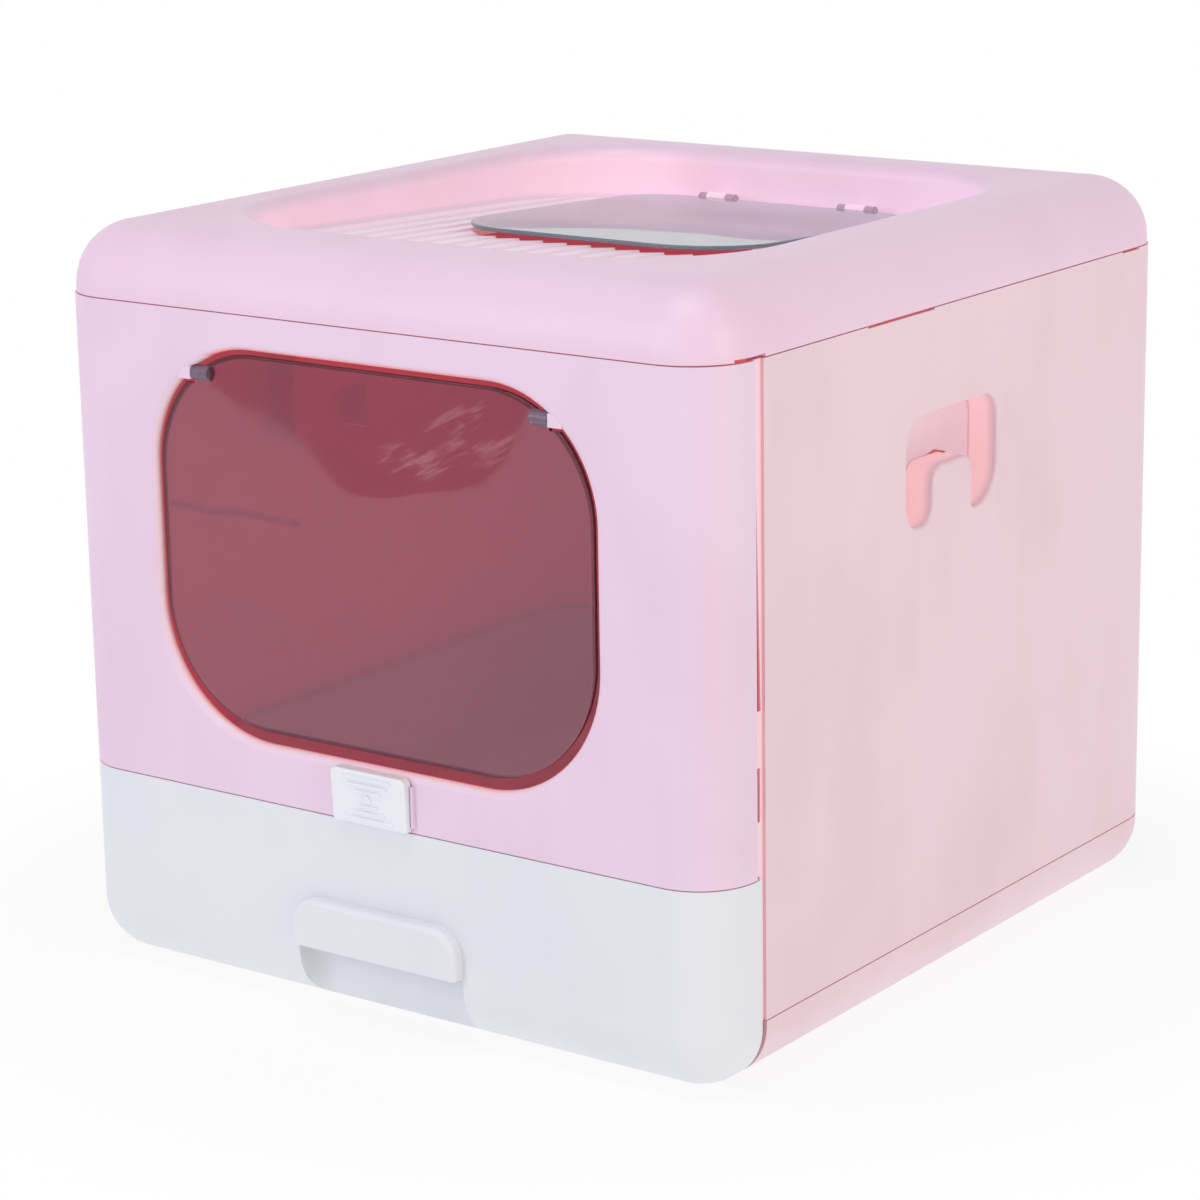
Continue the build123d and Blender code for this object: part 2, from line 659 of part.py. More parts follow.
with BuildPart() as lock_screws:
    lock_seat = Plane.XZ.offset(-RETAINER_BACK)
    with BuildSketch(lock_seat):
        with Locations(*LOCK_SCREW_SPOTS):
            Circle(LOCK_SCREW_HEAD_R)
    extrude(amount=-LOCK_SCREW_HEAD)
    with BuildSketch(lock_seat):
        with Locations(*LOCK_SCREW_SPOTS):
            Circle(LOCK_SCREW_R)
    extrude(amount=RETAINER_BACK - LOCK_BACK + LOCK_SCREW_BITE)
lock_screws.part.label = "lock_screws"

# ================================================================ top cover
cover_form = rounded_block(
    COVER_SEAM + SEAM_HALF, HEIGHT, 0, COVER_CORNER_R, crown_r=COVER_CROWN_R
)
cover_void = rounded_block(
    COVER_SEAM - 5,
    HEIGHT - COVER_ROOF,
    COVER_WALL,
    COVER_CORNER_R - COVER_WALL,
    crown_r=COVER_CROWN_R - COVER_ROOF,
)


def well_block(margin, plane):
    """The sunken well, grown by margin, above a plane."""
    with BuildPart() as shape:
        with BuildSketch(plan(COVER_SEAM - 10)):
            RectangleRounded(
                WELL_WIDTH + 2 * margin, WELL_DEPTH + 2 * margin, WELL_CORNER_R + margin
            )
        extrude(amount=60)
        split(bisect_by=plane, keep=Keep.TOP)
    return shape.part


well = well_block(0, deck_plane())
well_skin = well_block(COVER_WALL, deck_plane(-DECK_WALL))

# comb of low ridges that run from front to back, each rising to the right and then dropping
with BuildPart() as ridges:
    comb_plane = Plane(
        deck_plane().from_local_coords(Vector(0, -WELL_DEPTH / 2 - 5, 0)),
        x_dir=(1, 0, 0),
        z_dir=-deck_plane().y_dir,
    )
    first = -RIDGE_PITCH * RIDGE_COUNT / 2
    teeth = [(first, -RIDGE_ROOT)]
    for number in range(RIDGE_COUNT):
        left = first + number * RIDGE_PITCH
        teeth += [(left, RIDGE_FOOT), (left + RIDGE_PITCH - RIDGE_DROP, RIDGE_HEIGHT)]
    teeth.append((-first, -RIDGE_ROOT))
    with BuildSketch(comb_plane):
        with BuildLine():
            Polyline(*teeth, close=True)
        make_face()
    extrude(amount=-WELL_DEPTH - 10)
    add(well_block(-0.2, deck_plane(-2)), mode=Mode.INTERSECT)
    with BuildSketch(deck_plane(-5)):
        with Locations((0, (LID_BACK - 8 + WELL_DEPTH) / 2)):
            Rectangle(2 * LID_HALF_WIDTH + 16, WELL_DEPTH - LID_BACK + 8)
    extrude(amount=20, mode=Mode.SUBTRACT)


def lid_axis_location(x):
    """Place on the flip lid's hinge line, turned so that a cylinder lies along X."""
    spot = deck_plane().from_local_coords(Vector(x, LID_AXIS_Y, LID_AXIS_Z))
    return Location(spot, (0, 90, 0))


with BuildPart() as top_cover:
    add(cover_form)
    add(cover_void - well_skin, mode=Mode.SUBTRACT)
    add(well, mode=Mode.SUBTRACT)
    lip = top_cover.edges().filter_by_position(Axis.Z, HEIGHT - 0.01, HEIGHT + 0.01)
    lip = lip.filter_by_position(Axis.X, -WELL_WIDTH / 2 - 1, WELL_WIDTH / 2 + 1)
    lip = lip.filter_by_position(Axis.Y, BODY_Y - WELL_DEPTH / 2 - 1, BODY_Y + WELL_DEPTH / 2 + 1)
    fillet(lip, WELL_LIP_R)
    add(ridges.part)
    # raised seats under the lid's long edges
    with BuildSketch(deck_plane(-1)):
        with Locations(*[(x, y) for x in (-REST_PAD_X, REST_PAD_X) for y in REST_PAD_Y]):
            Circle(REST_PAD_R)
    extrude(amount=REST_PAD_HEIGHT + 1)
    # entry hole
    with BuildSketch(deck_plane(-20)):
        with Locations((0, (HATCH_FRONT + HATCH_BACK) / 2)):
            RectangleRounded(HATCH_WIDTH, HATCH_BACK - HATCH_FRONT, HATCH_CORNER_R)
    extrude(amount=40, mode=Mode.SUBTRACT)
    # hinge brackets behind the lid
    for side in (-1, 1):
        with BuildSketch(deck_plane(-1)):
            with Locations((side * BRACKET_X, LID_AXIS_Y + 1.2)):
                Rectangle(BRACKET_WIDTH, 2 * BRACKET_R + 1.4)
        extrude(amount=LID_AXIS_Z + 1)
        with Locations(lid_axis_location(side * BRACKET_X)):
            Cylinder(BRACKET_R, BRACKET_WIDTH)
            Cylinder(LID_PIN_R + PIN_CLEARANCE, BRACKET_WIDTH + 4, mode=Mode.SUBTRACT)
        # raised lower edge beside the front corner, which shows the panel's tongue
        block(
            mirrored(side, SIDE - CORNER_RELIEF_REACH, SIDE + 1),
            CORNER_RELIEF_SPAN,
            (COVER_SEAM - 1, COVER_SEAM + SEAM_HALF + CORNER_RELIEF),
            mode=Mode.SUBTRACT,
        )
top_cover.part.label = "top_cover"

# ================================================================ flip lid
lug_offset = BRACKET_WIDTH / 2 + JOINT_GAP + LID_LUG_WIDTH / 2
LUG_X = [side * BRACKET_X + way * lug_offset for side in (-1, 1) for way in (-1, 1)]

with BuildPart() as flip_lid:
    with BuildSketch(deck_plane(LID_LIFT)) as lid_outline:
        with Locations((0, (LID_FRONT + LID_BACK) / 2)):
            Rectangle(2 * LID_HALF_WIDTH, LID_BACK - LID_FRONT)
        fillet(lid_outline.vertices().group_by(Axis.Y)[0], LID_FRONT_R)
        fillet(lid_outline.vertices().group_by(Axis.Y)[-1], LID_BACK_R)
    extrude(amount=LID_WALL)
    fillet(flip_lid.faces().filter_by(deck_plane()).edges(), 0.7)
    with BuildSketch(deck_plane(LID_LIFT)):
        for x in LUG_X:
            with Locations((x, (LID_BACK - 6 + LID_AXIS_Y) / 2)):
                Rectangle(LID_LUG_WIDTH, LID_AXIS_Y - LID_BACK + 6)
    extrude(amount=LID_WALL)
    for x in LUG_X:
        with Locations(lid_axis_location(x)):
            Cylinder(LID_BARREL_R, LID_LUG_WIDTH)
            Cylinder(LID_PIN_R, LID_LUG_WIDTH + 2, mode=Mode.SUBTRACT)
flip_lid.part.label = "flip_lid"


def lid_pin(x):
    """Hinge pin of the flip lid."""
    with BuildPart() as pin:
        with Locations(lid_axis_location(x)):
            Cylinder(LID_PIN_R, BRACKET_WIDTH + 2 * (JOINT_GAP + LID_LUG_WIDTH))
    return pin.part


flip_lid_pin_left = lid_pin(-BRACKET_X)
flip_lid_pin_left.label = "flip_lid_pin_left"
flip_lid_pin_right = lid_pin(BRACKET_X)
flip_lid_pin_right.label = "flip_lid_pin_right"

# ================================================================ drawer front
BOSS_SPOTS = [(x, z) for x in (-BOSS_X, BOSS_X) for z in BOSS_Z]
DRAWER_TOP = DRAWER_SEAM - SEAM_HALF

SCOOP_STEPS = (
    (SCOOP_HALF_WIDTH, PULL_BOTTOM),
    (SCOOP_HALF_WIDTH - SCOOP_SHOULDER, SCOOP_TOP),
)


def scoop_block(margin):
    """Room for the fingers, open downwards and running up behind the pull, grown by margin."""
    length = SCOOP_REACH + SCOOP_DEPTH + margin
    with BuildPart() as room:
        for half_width, top in SCOOP_STEPS:
            with BuildSketch() as footprint:
                with Locations((0, FRONT - SCOOP_REACH + length / 2)):
                    Rectangle(2 * (half_width + margin), length)
                fillet(footprint.vertices().group_by(Axis.Y)[-1], SCOOP_CORNER_R + margin)
            extrude(amount=top + margin)
    return room.part


with BuildPart() as scoop:
    add(scoop_block(0))
    # the pull's own wall stays
    block(
        (-SCOOP_HALF_WIDTH, SCOOP_HALF_WIDTH),
        (FRONT - SCOOP_REACH, FRONT - PULL_PROUD + PULL_WALL),
        (PULL_BOTTOM, SCOOP_TOP),
        mode=Mode.SUBTRACT,
    )

with BuildPart() as scoop_liner:
    add(scoop_block(SCOOP_LINER))
    add(body_form, mode=Mode.INTERSECT)

with BuildPart() as pull:
    with BuildSketch(front_plane(1)) as pull_view:
        with Locations((0, (PULL_BOTTOM + PULL_TOP) / 2)):
            Rectangle(2 * PULL_HALF_WIDTH, PULL_TOP - PULL_BOTTOM)
        fillet(pull_view.vertices().group_by(Axis.Y)[-1], PULL_CORNER_R)
    extrude(amount=PULL_PROUD + 1)
    rolled = pull.faces().sort_by(Axis.Y)[0].edges().sort_by(Axis.Z)[1:]
    fillet(rolled, PULL_ROUND)

with BuildPart() as drawer_front:
    add(body_shell)
    block((-SIDE, SIDE), (FRONT, DRAWER_RETURN), (0, DRAWER_TOP), mode=Mode.INTERSECT)
    with BuildPart(mode=Mode.PRIVATE) as top_flange:
        add(body_form)
        block(
            (-SIDE, SIDE),
            (FRONT, FRONT + HEADER_DEPTH),
            (DRAWER_TOP - HEADER_WALL, DRAWER_TOP),
            mode=Mode.INTERSECT,
        )
    add(top_flange.part)
    with BuildSketch(front_plane(WALL - 0.5)):
        with Locations(*BOSS_SPOTS):
            Circle(BOSS_R)
    extrude(amount=-(PAN_FRONT - FRONT - WALL + 0.5))
    with BuildSketch(front_plane(PAN_FRONT - FRONT)):
        with Locations(*BOSS_SPOTS):
            Circle(SCREW_R)
    extrude(amount=SCREW_LENGTH - PAN_WALL, mode=Mode.SUBTRACT)
    add(scoop_liner.part)
    add(pull.part)
    add(scoop.part, mode=Mode.SUBTRACT)
drawer_front.part.label = "drawer_front"

# ================================================================ drawer pan
PAN_LENGTH = PAN_BACK - PAN_FRONT
PAN_MID_Y = (PAN_BACK + PAN_FRONT) / 2


def pan_block(inset, bottom, top, foot_r):
    """The pan's outline drawn in by inset, with rounded lower edges."""
    with BuildPart() as shape:
        with BuildSketch(Plane((0, PAN_MID_Y, bottom))):
            RectangleRounded(
                2 * (PAN_HALF_WIDTH - inset), PAN_LENGTH - 2 * inset, PAN_CORNER_R - inset
            )
        extrude(amount=top - bottom)
        fillet(shape.faces().sort_by(Axis.Z)[0].edges(), foot_r)
    return shape.part


pan_outer = pan_block(0, PAN_BOTTOM, PAN_TOP, PAN_FOOT_R)
pan_inner = pan_block(PAN_WALL, PAN_BOTTOM + PAN_WALL, PAN_TOP + 5, PAN_FOOT_R - PAN_WALL)

with BuildPart() as drawer_pan:
    add(pan_outer)
    # rolled rim along the sides and the back
    with BuildSketch(Plane((0, PAN_MID_Y + PAN_RIM / 2, PAN_TOP))):
        RectangleRounded(2 * (PAN_HALF_WIDTH + PAN_RIM), PAN_LENGTH + PAN_RIM, PAN_CORNER_R)
    extrude(amount=-PAN_WALL)
    add(pan_inner, mode=Mode.SUBTRACT)
    with BuildSketch(Plane.XZ.offset(-PAN_FRONT)):
        with Locations(*BOSS_SPOTS):
            Circle(SCREW_R + 0.2)
    extrude(amount=-PAN_WALL - 1, mode=Mode.SUBTRACT)
drawer_pan.part.label = "drawer_pan"

with BuildPart() as drawer_screws:
    seat = Plane.XZ.offset(-PAN_FRONT - PAN_WALL)
    with BuildSketch(seat):
        with Locations(*BOSS_SPOTS):
            Circle(SCREW_HEAD_R)
    extrude(amount=-SCREW_HEAD)
    chamfer(drawer_screws.faces().group_by(Axis.Y)[-1].edges(), 0.6)
    with BuildSketch(seat):
        with Locations(*BOSS_SPOTS):
            Circle(SCREW_R)
    extrude(amount=SCREW_LENGTH)
drawer_screws.part.label = "drawer_screws"

# ================================================================ write the parts
PARTS = [
    base_tray.part,
    anti_slip_pads.part,
    drawer_glide_left,
    drawer_glide_right,
    side_panel_left.part,
    side_panel_right.part,
    rear_panel.part,
    front_panel.part,
    front_flap.part,
    lock_slider.part,
    lock_retainer.part,
    lock_screws.part,
    top_cover.part,
    flip_lid.part,
    flip_lid_pin_left,
    flip_lid_pin_right,
    drawer_front.part,
    drawer_pan.part,
    drawer_screws.part,
]

os.makedirs("parts", exist_ok=True)
for piece in PARTS:
    export_step(piece, f"parts/{piece.label}.step")
    size = piece.bounding_box().size
    print(f"{piece.label}: {len(piece.solids())} solid(s), {size.X:.1f} x {size.Y:.1f} x {size.Z:.1f} mm")
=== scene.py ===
"""Looks of the drawer litter box: its moulded pink shell, white drawer, smoke-tinted flap and lid.

Everything is in metres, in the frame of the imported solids: +X to the right, +Y to the back,
+Z up, with the origin on the floor under the middle of the outline.
"""

from __future__ import annotations

import logging
import math
from dataclasses import dataclass, field, replace
from enum import Enum
from typing import Any, Callable, ClassVar, Iterable, Mapping, Sequence, Union

import bpy
from mathutils import Matrix, Vector

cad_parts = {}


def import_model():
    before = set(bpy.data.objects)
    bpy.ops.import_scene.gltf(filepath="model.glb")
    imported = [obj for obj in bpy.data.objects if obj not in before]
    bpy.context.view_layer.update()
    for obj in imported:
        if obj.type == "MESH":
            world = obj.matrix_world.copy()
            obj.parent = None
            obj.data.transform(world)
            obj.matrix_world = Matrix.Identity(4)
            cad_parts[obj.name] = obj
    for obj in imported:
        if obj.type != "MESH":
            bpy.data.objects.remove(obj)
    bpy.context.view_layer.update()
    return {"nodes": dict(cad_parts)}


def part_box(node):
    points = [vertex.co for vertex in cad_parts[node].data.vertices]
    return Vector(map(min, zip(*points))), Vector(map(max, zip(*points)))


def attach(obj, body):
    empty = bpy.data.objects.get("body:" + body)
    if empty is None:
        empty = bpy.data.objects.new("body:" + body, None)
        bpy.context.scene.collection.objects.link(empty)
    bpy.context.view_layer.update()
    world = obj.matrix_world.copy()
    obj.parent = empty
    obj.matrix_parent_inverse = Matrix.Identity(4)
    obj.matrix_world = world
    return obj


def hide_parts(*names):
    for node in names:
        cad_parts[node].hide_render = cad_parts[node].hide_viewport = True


LOG = logging.getLogger("litter_box")
MM = 0.001

Colour = tuple[float, float, float]


def linear(red: int, green: int, blue: int) -> Colour:
    """Turns a colour given as screen values from 0 to 255 into the linear values nodes take.

    Args:
        red: Screen value of red.
        green: Screen value of green.
        blue: Screen value of blue.

    Returns:
        The same colour in linear light.
    """
    shares = (value / 255 for value in (red, green, blue))
    return tuple(s / 12.92 if s <= 0.04045 else ((s + 0.055) / 1.055) ** 2.4 for s in shares)


# ------------ shader building


class Wire:
    """One number coming out of a node, so that shader maths is written as plain sums."""

    def __init__(self, maker: "Maker", socket: bpy.types.NodeSocket) -> None:
        """Keeps the socket and the maker whose tree it is in."""
        self.maker = maker
        self.socket = socket

    def _math(self, operation: str, *values: "Number") -> "Wire":
        """Adds a Math node on these values."""
        inputs = dict(enumerate(values))
        return self.maker.wire("ShaderNodeMath", {"operation": operation}, inputs, "Value")

    def __add__(self, other: "Number") -> "Wire":
        """self + other."""
        return self._math("ADD", self, other)

    __radd__ = __add__

    def __sub__(self, other: "Number") -> "Wire":
        """self - other."""
        return self._math("SUBTRACT", self, other)

    def __rsub__(self, other: "Number") -> "Wire":
        """other - self."""
        return self._math("SUBTRACT", other, self)

    def __mul__(self, other: "Number") -> "Wire":
        """self * other."""
        return self._math("MULTIPLY", self, other)

    __rmul__ = __mul__

    def __truediv__(self, other: "Number") -> "Wire":
        """self / other."""
        return self._math("DIVIDE", self, other)

    def __abs__(self) -> "Wire":
        """The size of self without its sign."""
        return self._math("ABSOLUTE", self)

    def root(self) -> "Wire":
        """The square root of self."""
        return self._math("SQRT", self)

    def least(self, other: "Number") -> "Wire":
        """The smaller of self and other."""
        return self._math("MINIMUM", self, other)

    def most(self, other: "Number") -> "Wire":
        """The larger of self and other."""
        return self._math("MAXIMUM", self, other)

    def ramp(self, start: float, end: float) -> "Wire":
        """Goes smoothly from 0 at start to 1 at end.

        Args:
            start: Value at which the result is 0.
            end: Value at which the result is 1. It may be below start.

        Returns:
            The ramp, which stays at 0 and at 1 beyond its ends.
        """
        low, high = min(start, end), max(start, end)
        inputs = {"Value": self, "From Min": low, "From Max": high}
        rise = self.maker.wire(
            "ShaderNodeMapRange", {"interpolation_type": "SMOOTHSTEP"}, inputs, "Result"
        )
        return rise if start < end else 1 - rise


Number = Union[Wire, float, int]


class Maker:
    """Builds the node tree of one material or world."""

    def __init__(self, owner: bpy.types.Material | bpy.types.World) -> None:
        """Starts with an empty tree.

        Args:
            owner: The material or world that the tree belongs to.
        """
        self.owner = owner
        owner.use_nodes = True
        self.tree = owner.node_tree
        self.tree.nodes.clear()
        self._place: bpy.types.NodeSocket | None = None

    def feed(self, socket: bpy.types.NodeSocket, value: Any) -> None:
        """Puts something into a socket.

        Args:
            socket: The input.
            value: A value, a Wire or another node's output.
        """
        source = value.socket if isinstance(value, Wire) else value
        if isinstance(source, bpy.types.NodeSocket):
            self.tree.links.new(source, socket)
        elif isinstance(value, tuple) and len(value) == 3 and socket.type == "RGBA":
            socket.default_value = (*value, 1)
        else:
            socket.default_value = value

    def node(
        self,
        kind: str,
        settings: Mapping[str, Any] | None = None,
        inputs: Mapping[Any, Any] | None = None,
    ) -> bpy.types.Node:
        """Adds a node.

        Args:
            kind: Blender's name for the node's type.
            settings: Values of the node's own settings.
            inputs: What goes into its sockets, by name or by number: a value, a Wire or a socket.

        Returns:
            The new node.
        """
        made = self.tree.nodes.new(kind)
        for name, value in (settings or {}).items():
            setattr(made, name, value)
        for key, value in (inputs or {}).items():
            self.feed(made.inputs[key], value)
        return made

    def wire(
        self, kind: str, settings: Mapping[str, Any], inputs: Mapping[Any, Any], output: str
    ) -> Wire:
        """Adds a node and gives the named output as a Wire."""
        return Wire(self, self.node(kind, settings, inputs).outputs[output])

    def place(self) -> bpy.types.NodeSocket:
        """The point being shaded, in metres, in the frame of the solids."""
        if self._place is None:
            self._place = self.node("ShaderNodeTexCoord").outputs["Object"]
        return self._place

    def axes(self) -> tuple[Wire, Wire, Wire]:
        """The point's X, Y and Z as three Wires."""
        split = self.node("ShaderNodeSeparateXYZ", inputs={"Vector": self.place()})
        return tuple(Wire(self, split.outputs[axis]) for axis in "XYZ")

    def stretched(self, scale: Sequence[float], turn: Sequence[float] = (0, 0, 0)) -> Any:
        """The point turned and then scaled along each axis, for patterns that run one way.

        Args:
            scale: Factor along each axis.
            turn: Angle about each axis, in radians.

        Returns:
            The socket with the changed point.
        """
        size = tuple(1 / factor for factor in scale)
        inputs = {"Vector": self.place(), "Rotation": tuple(turn), "Scale": size}
        made = self.node("ShaderNodeMapping", {"vector_type": "TEXTURE"}, inputs)
        return made.outputs["Vector"]

    def noise(
        self, size: float, detail: float = 2.0, rough: float = 0.5, point: Any = None
    ) -> Wire:
        """Soft noise between 0 and 1.

        Args:
            size: Width of its features, in metres.
            detail: How many finer layers it has.
            rough: How strong the finer layers are.
            point: Where it is read, or None for the plain point.

        Returns:
            The noise.
        """
        inputs = {
            "Vector": point or self.place(),
            "Scale": 1 / size,
            "Detail": detail,
            "Roughness": rough,
        }
        return self.wire("ShaderNodeTexNoise", {}, inputs, "Fac")

    def specks(self, spacing: float, radius: float, share: float) -> Wire:
        """A few small round specks, 1 on a speck and 0 beside it.

        Args:
            spacing: Mean distance between places that may hold a speck, in metres.
            radius: Radius of a speck, in metres.
            share: Share of the places that hold one.

        Returns:
            The mask.
        """
        cells = self.node(
            "ShaderNodeTexVoronoi", inputs={"Vector": self.place(), "Scale": 1 / spacing}
        )
        near = Wire(self, cells.outputs["Distance"]).ramp(radius / spacing, 0.5 * radius / spacing)
        tone = self.node("ShaderNodeSeparateColor", inputs={"Color": cells.outputs["Color"]})
        return near * Wire(self, tone.outputs["Red"]).ramp(share, share - 0.01)

    def blend(self, mask: Number, low: Any, high: Any) -> bpy.types.NodeSocket:
        """Mixes two colours.

        Args:
            mask: 0 gives low and 1 gives high.
            low: First colour, as numbers or a socket.
            high: Second colour, as numbers or a socket.

        Returns:
            The mixed colour.
        """
        made = self.node("ShaderNodeMix", {"data_type": "RGBA"})
        by_kind = [socket for socket in made.inputs if socket.type == "RGBA"]
        for socket, value in ((made.inputs[0], mask), (by_kind[0], low), (by_kind[1], high)):
            self.feed(socket, value)
        return next(socket for socket in made.outputs if socket.type == "RGBA")

    def rays(self, *kinds: str) -> Wire:
        """Tells which rays meet the surface.

        Args:
            kinds: Names of kinds of rays, such as Camera.

        Returns:
            1 for a ray of one of these kinds and 0 for any other.
        """
        path = self.node("ShaderNodeLightPath")
        first, *others = (Wire(self, path.outputs[f"Is {kind} Ray"]) for kind in kinds)
        for other in others:
            first = first.most(other)
        return first

    def bump(self, height: Wire, depth: float) -> bpy.types.NodeSocket:
        """Turns a height pattern from 0 to 1, depth metres deep, into a normal."""
        made = self.node("ShaderNodeBump", inputs={"Height": height, "Distance": depth})
        return made.outputs["Normal"]

    def shader(self, **inputs: Any) -> bpy.types.NodeSocket:
        """Adds a Principled shader. An underscore in a name stands for a space."""
        named = {name.replace("_", " "): value for name, value in inputs.items()}
        return self.node("ShaderNodeBsdfPrincipled", inputs=named).outputs["BSDF"]

    def mixed(self, share: Number, low: Any, high: Any) -> bpy.types.NodeSocket:
        """Mixes two shaders: a share of 0 gives low and 1 gives high."""
        return self.node("ShaderNodeMixShader", inputs={0: share, 1: low, 2: high}).outputs[0]

    def done(self, surface: bpy.types.NodeSocket) -> bpy.types.Material:
        """Joins the surface to the output.

        Faint glows aren't sampled as lamps. If they were, each triangle would take another share
        of the samples, and flat faces would show their triangles.

        Args:
            surface: The shader's output.

        Returns:
            The finished material.
        """
        self.node("ShaderNodeOutputMaterial", inputs={"Surface": surface})
        self.owner.cycles.emission_sampling = "NONE"
        return self.owner


# ------------ finishes


class Mould(Enum):
    """Which way a mould's surface was finished, by the width of its texture in metres."""

    FINE = 0.0009
    POLISHED = 0.004


@dataclass(frozen=True)
class MouldedPlastic:
    """Opaque injection-moulded plastic.

    Attributes:
        name: Material name.
        colour: Its colour.
        shade: The slightly deeper colour that low spots and flow marks have.
        roughness: Mean roughness.
        mould: Texture of the mould.
        coat: Weight of the smooth skin on top.
        inner: Painted red light on its faces inside the closed shell, the tint that light through
            the thin pink walls gives them, or None where it has no such faces.
        glow: Light that the thin walls let through, seen on the inner faces.
        joint: Colour of its faces in the joints, just behind the skin: painted light, the salmon
            that light through the thin walls gives the seams.
        joint_depth: How far behind the skin the joint colour starts and is full.
        joint_glow: Light that comes through the walls there.
        strip_glow: Light that comes through the joint strips beside the front panel.
        rolled: Colour of the front opening's rolled edge, a painted highlight paler than the skin,
            or None where it has none.
        rolled_glow: Light that comes through that edge.
        recess: Colour of the walls of the hook recess, painted light: the salmon that lamp light and
            light through the thin walls give them, or None where it has none.
        recess_glow: Light that comes through those walls.
        well_glow: Light in the cover's well at its left and right end, or None.
        deck_glow: Light on the well's deck.
    """

    name: str
    colour: Colour
    shade: Colour
    roughness: float = 0.46
    mould: Mould = Mould.FINE
    coat: float = 0.12
    inner: Colour | None = None
    glow: Colour = (0.0, 0.0, 0.0)
    joint: Colour = linear(232, 176, 180)
    joint_depth: tuple[float, float] = (0.3 * MM, 1.2 * MM)
    joint_glow: Colour = (0.10, 0.030, 0.030)
    strip_glow: Colour = (0.13, 0.08, 0.09)
    rolled: Colour | None = None
    rolled_glow: Colour = (0.0, 0.0, 0.0)
    recess: Colour | None = None
    recess_glow: Colour = (0.0, 0.0, 0.0)
    well_glow: tuple[Colour, Colour] | None = None
    deck_glow: Colour = (0.0, 0.0, 0.0)

    def make(self) -> bpy.types.Material:
        """Builds the material.

        Returns:
            The finished material.
        """
        make = Maker(bpy.data.materials.new(self.name))
        clouds = make.noise(0.11, detail=3.0)
        flow = make.noise(0.035, detail=2.0, point=make.stretched((1.0, 1.0, 0.25)))
        patches = (0.6 * clouds + 0.4 * flow).ramp(0.42, 0.66)
        colour = make.blend(patches, self.colour, self.shade)
        dust = make.specks(0.045, 0.00042, 0.12)
        dark = tuple(0.45 * value for value in self.shade)
        colour = make.blend(0.5 * dust, colour, dark)
        light: Any = (0.0, 0.0, 0.0)
        body = BodyForm(make)
        if self.inner is not None:
            depth = body.depth()
            # Painted light: faces deep inside the shell take the inner colour, standing in for the
            # red light that the pink walls let in.
            inside = depth.ramp(1.8 * MM, 3.0 * MM)
            # Painted light: faces in the joints take a salmon colour for the light that comes
            # through the walls there.
            joint = depth.ramp(*self.joint_depth)
            strip = joint * body.joint_strip()
            joint = joint - strip
            light = make.blend(strip, light, self.strip_glow)
            if self.rolled is not None:
                # Painted highlight: the opening's rolled edge takes a paler colour than the skin.
                doorway = body.doorway()
                edge = doorway * depth.ramp(0.1 * MM, 1.5 * MM)
                joint = joint * (1 - doorway)
                inside = inside * (1 - doorway * depth.ramp(5.3 * MM, 4.0 * MM))
                colour = make.blend(edge, colour, self.rolled)
                light = make.blend(edge, light, self.rolled_glow)
            if self.recess is not None:
                hollow = body.hook_hollow()
                inside = inside * (1 - hollow)
                joint = joint * (1 - hollow)
                # Painted light: the walls of the hook recess take a salmon colour for the light that
                # falls on them.
                walls = hollow * depth.ramp(0.8 * MM, 8 * MM) * depth.ramp(16.9 * MM, 16.0 * MM)
                colour = make.blend(walls, colour, self.recess)
                light = make.blend(walls, light, self.recess_glow)
            colour = make.blend(joint, colour, self.joint)
            light = make.blend(joint, light, self.joint_glow)
            colour = make.blend(inside, colour, self.inner)
            light = make.blend(inside, light, self.glow)
        if self.well_glow is not None:
            left, right = self.well_glow
            across = make.blend(body.x.ramp(-0.12, 0.02), left, right)
            along = make.blend(body.over_deck().ramp(1 * MM, 4 * MM), self.deck_glow, across)
            light = make.blend(body.well_room(), light, along)
        texture = make.noise(self.mould.value, detail=1.5)
        rough = self.roughness + 0.10 * (clouds - 0.5) + 0.06 * (texture - 0.5)
        sink = make.noise(0.16, detail=1.0)
        waves = make.bump(sink, 0.0011)
        grain = make.node(
            "ShaderNodeBump",
            inputs={"Height": texture, "Distance": 0.00003, "Strength": 0.35, "Normal": waves},
        )
        surface = make.shader(
            Base_Color=colour,
            Roughness=rough,
            IOR=1.48,
            Coat_Weight=self.coat,
            Coat_Roughness=0.22,
            Emission_Color=light,
            Emission_Strength=1.0,
            Normal=grain.outputs["Normal"],
        )
        return make.done(surface)


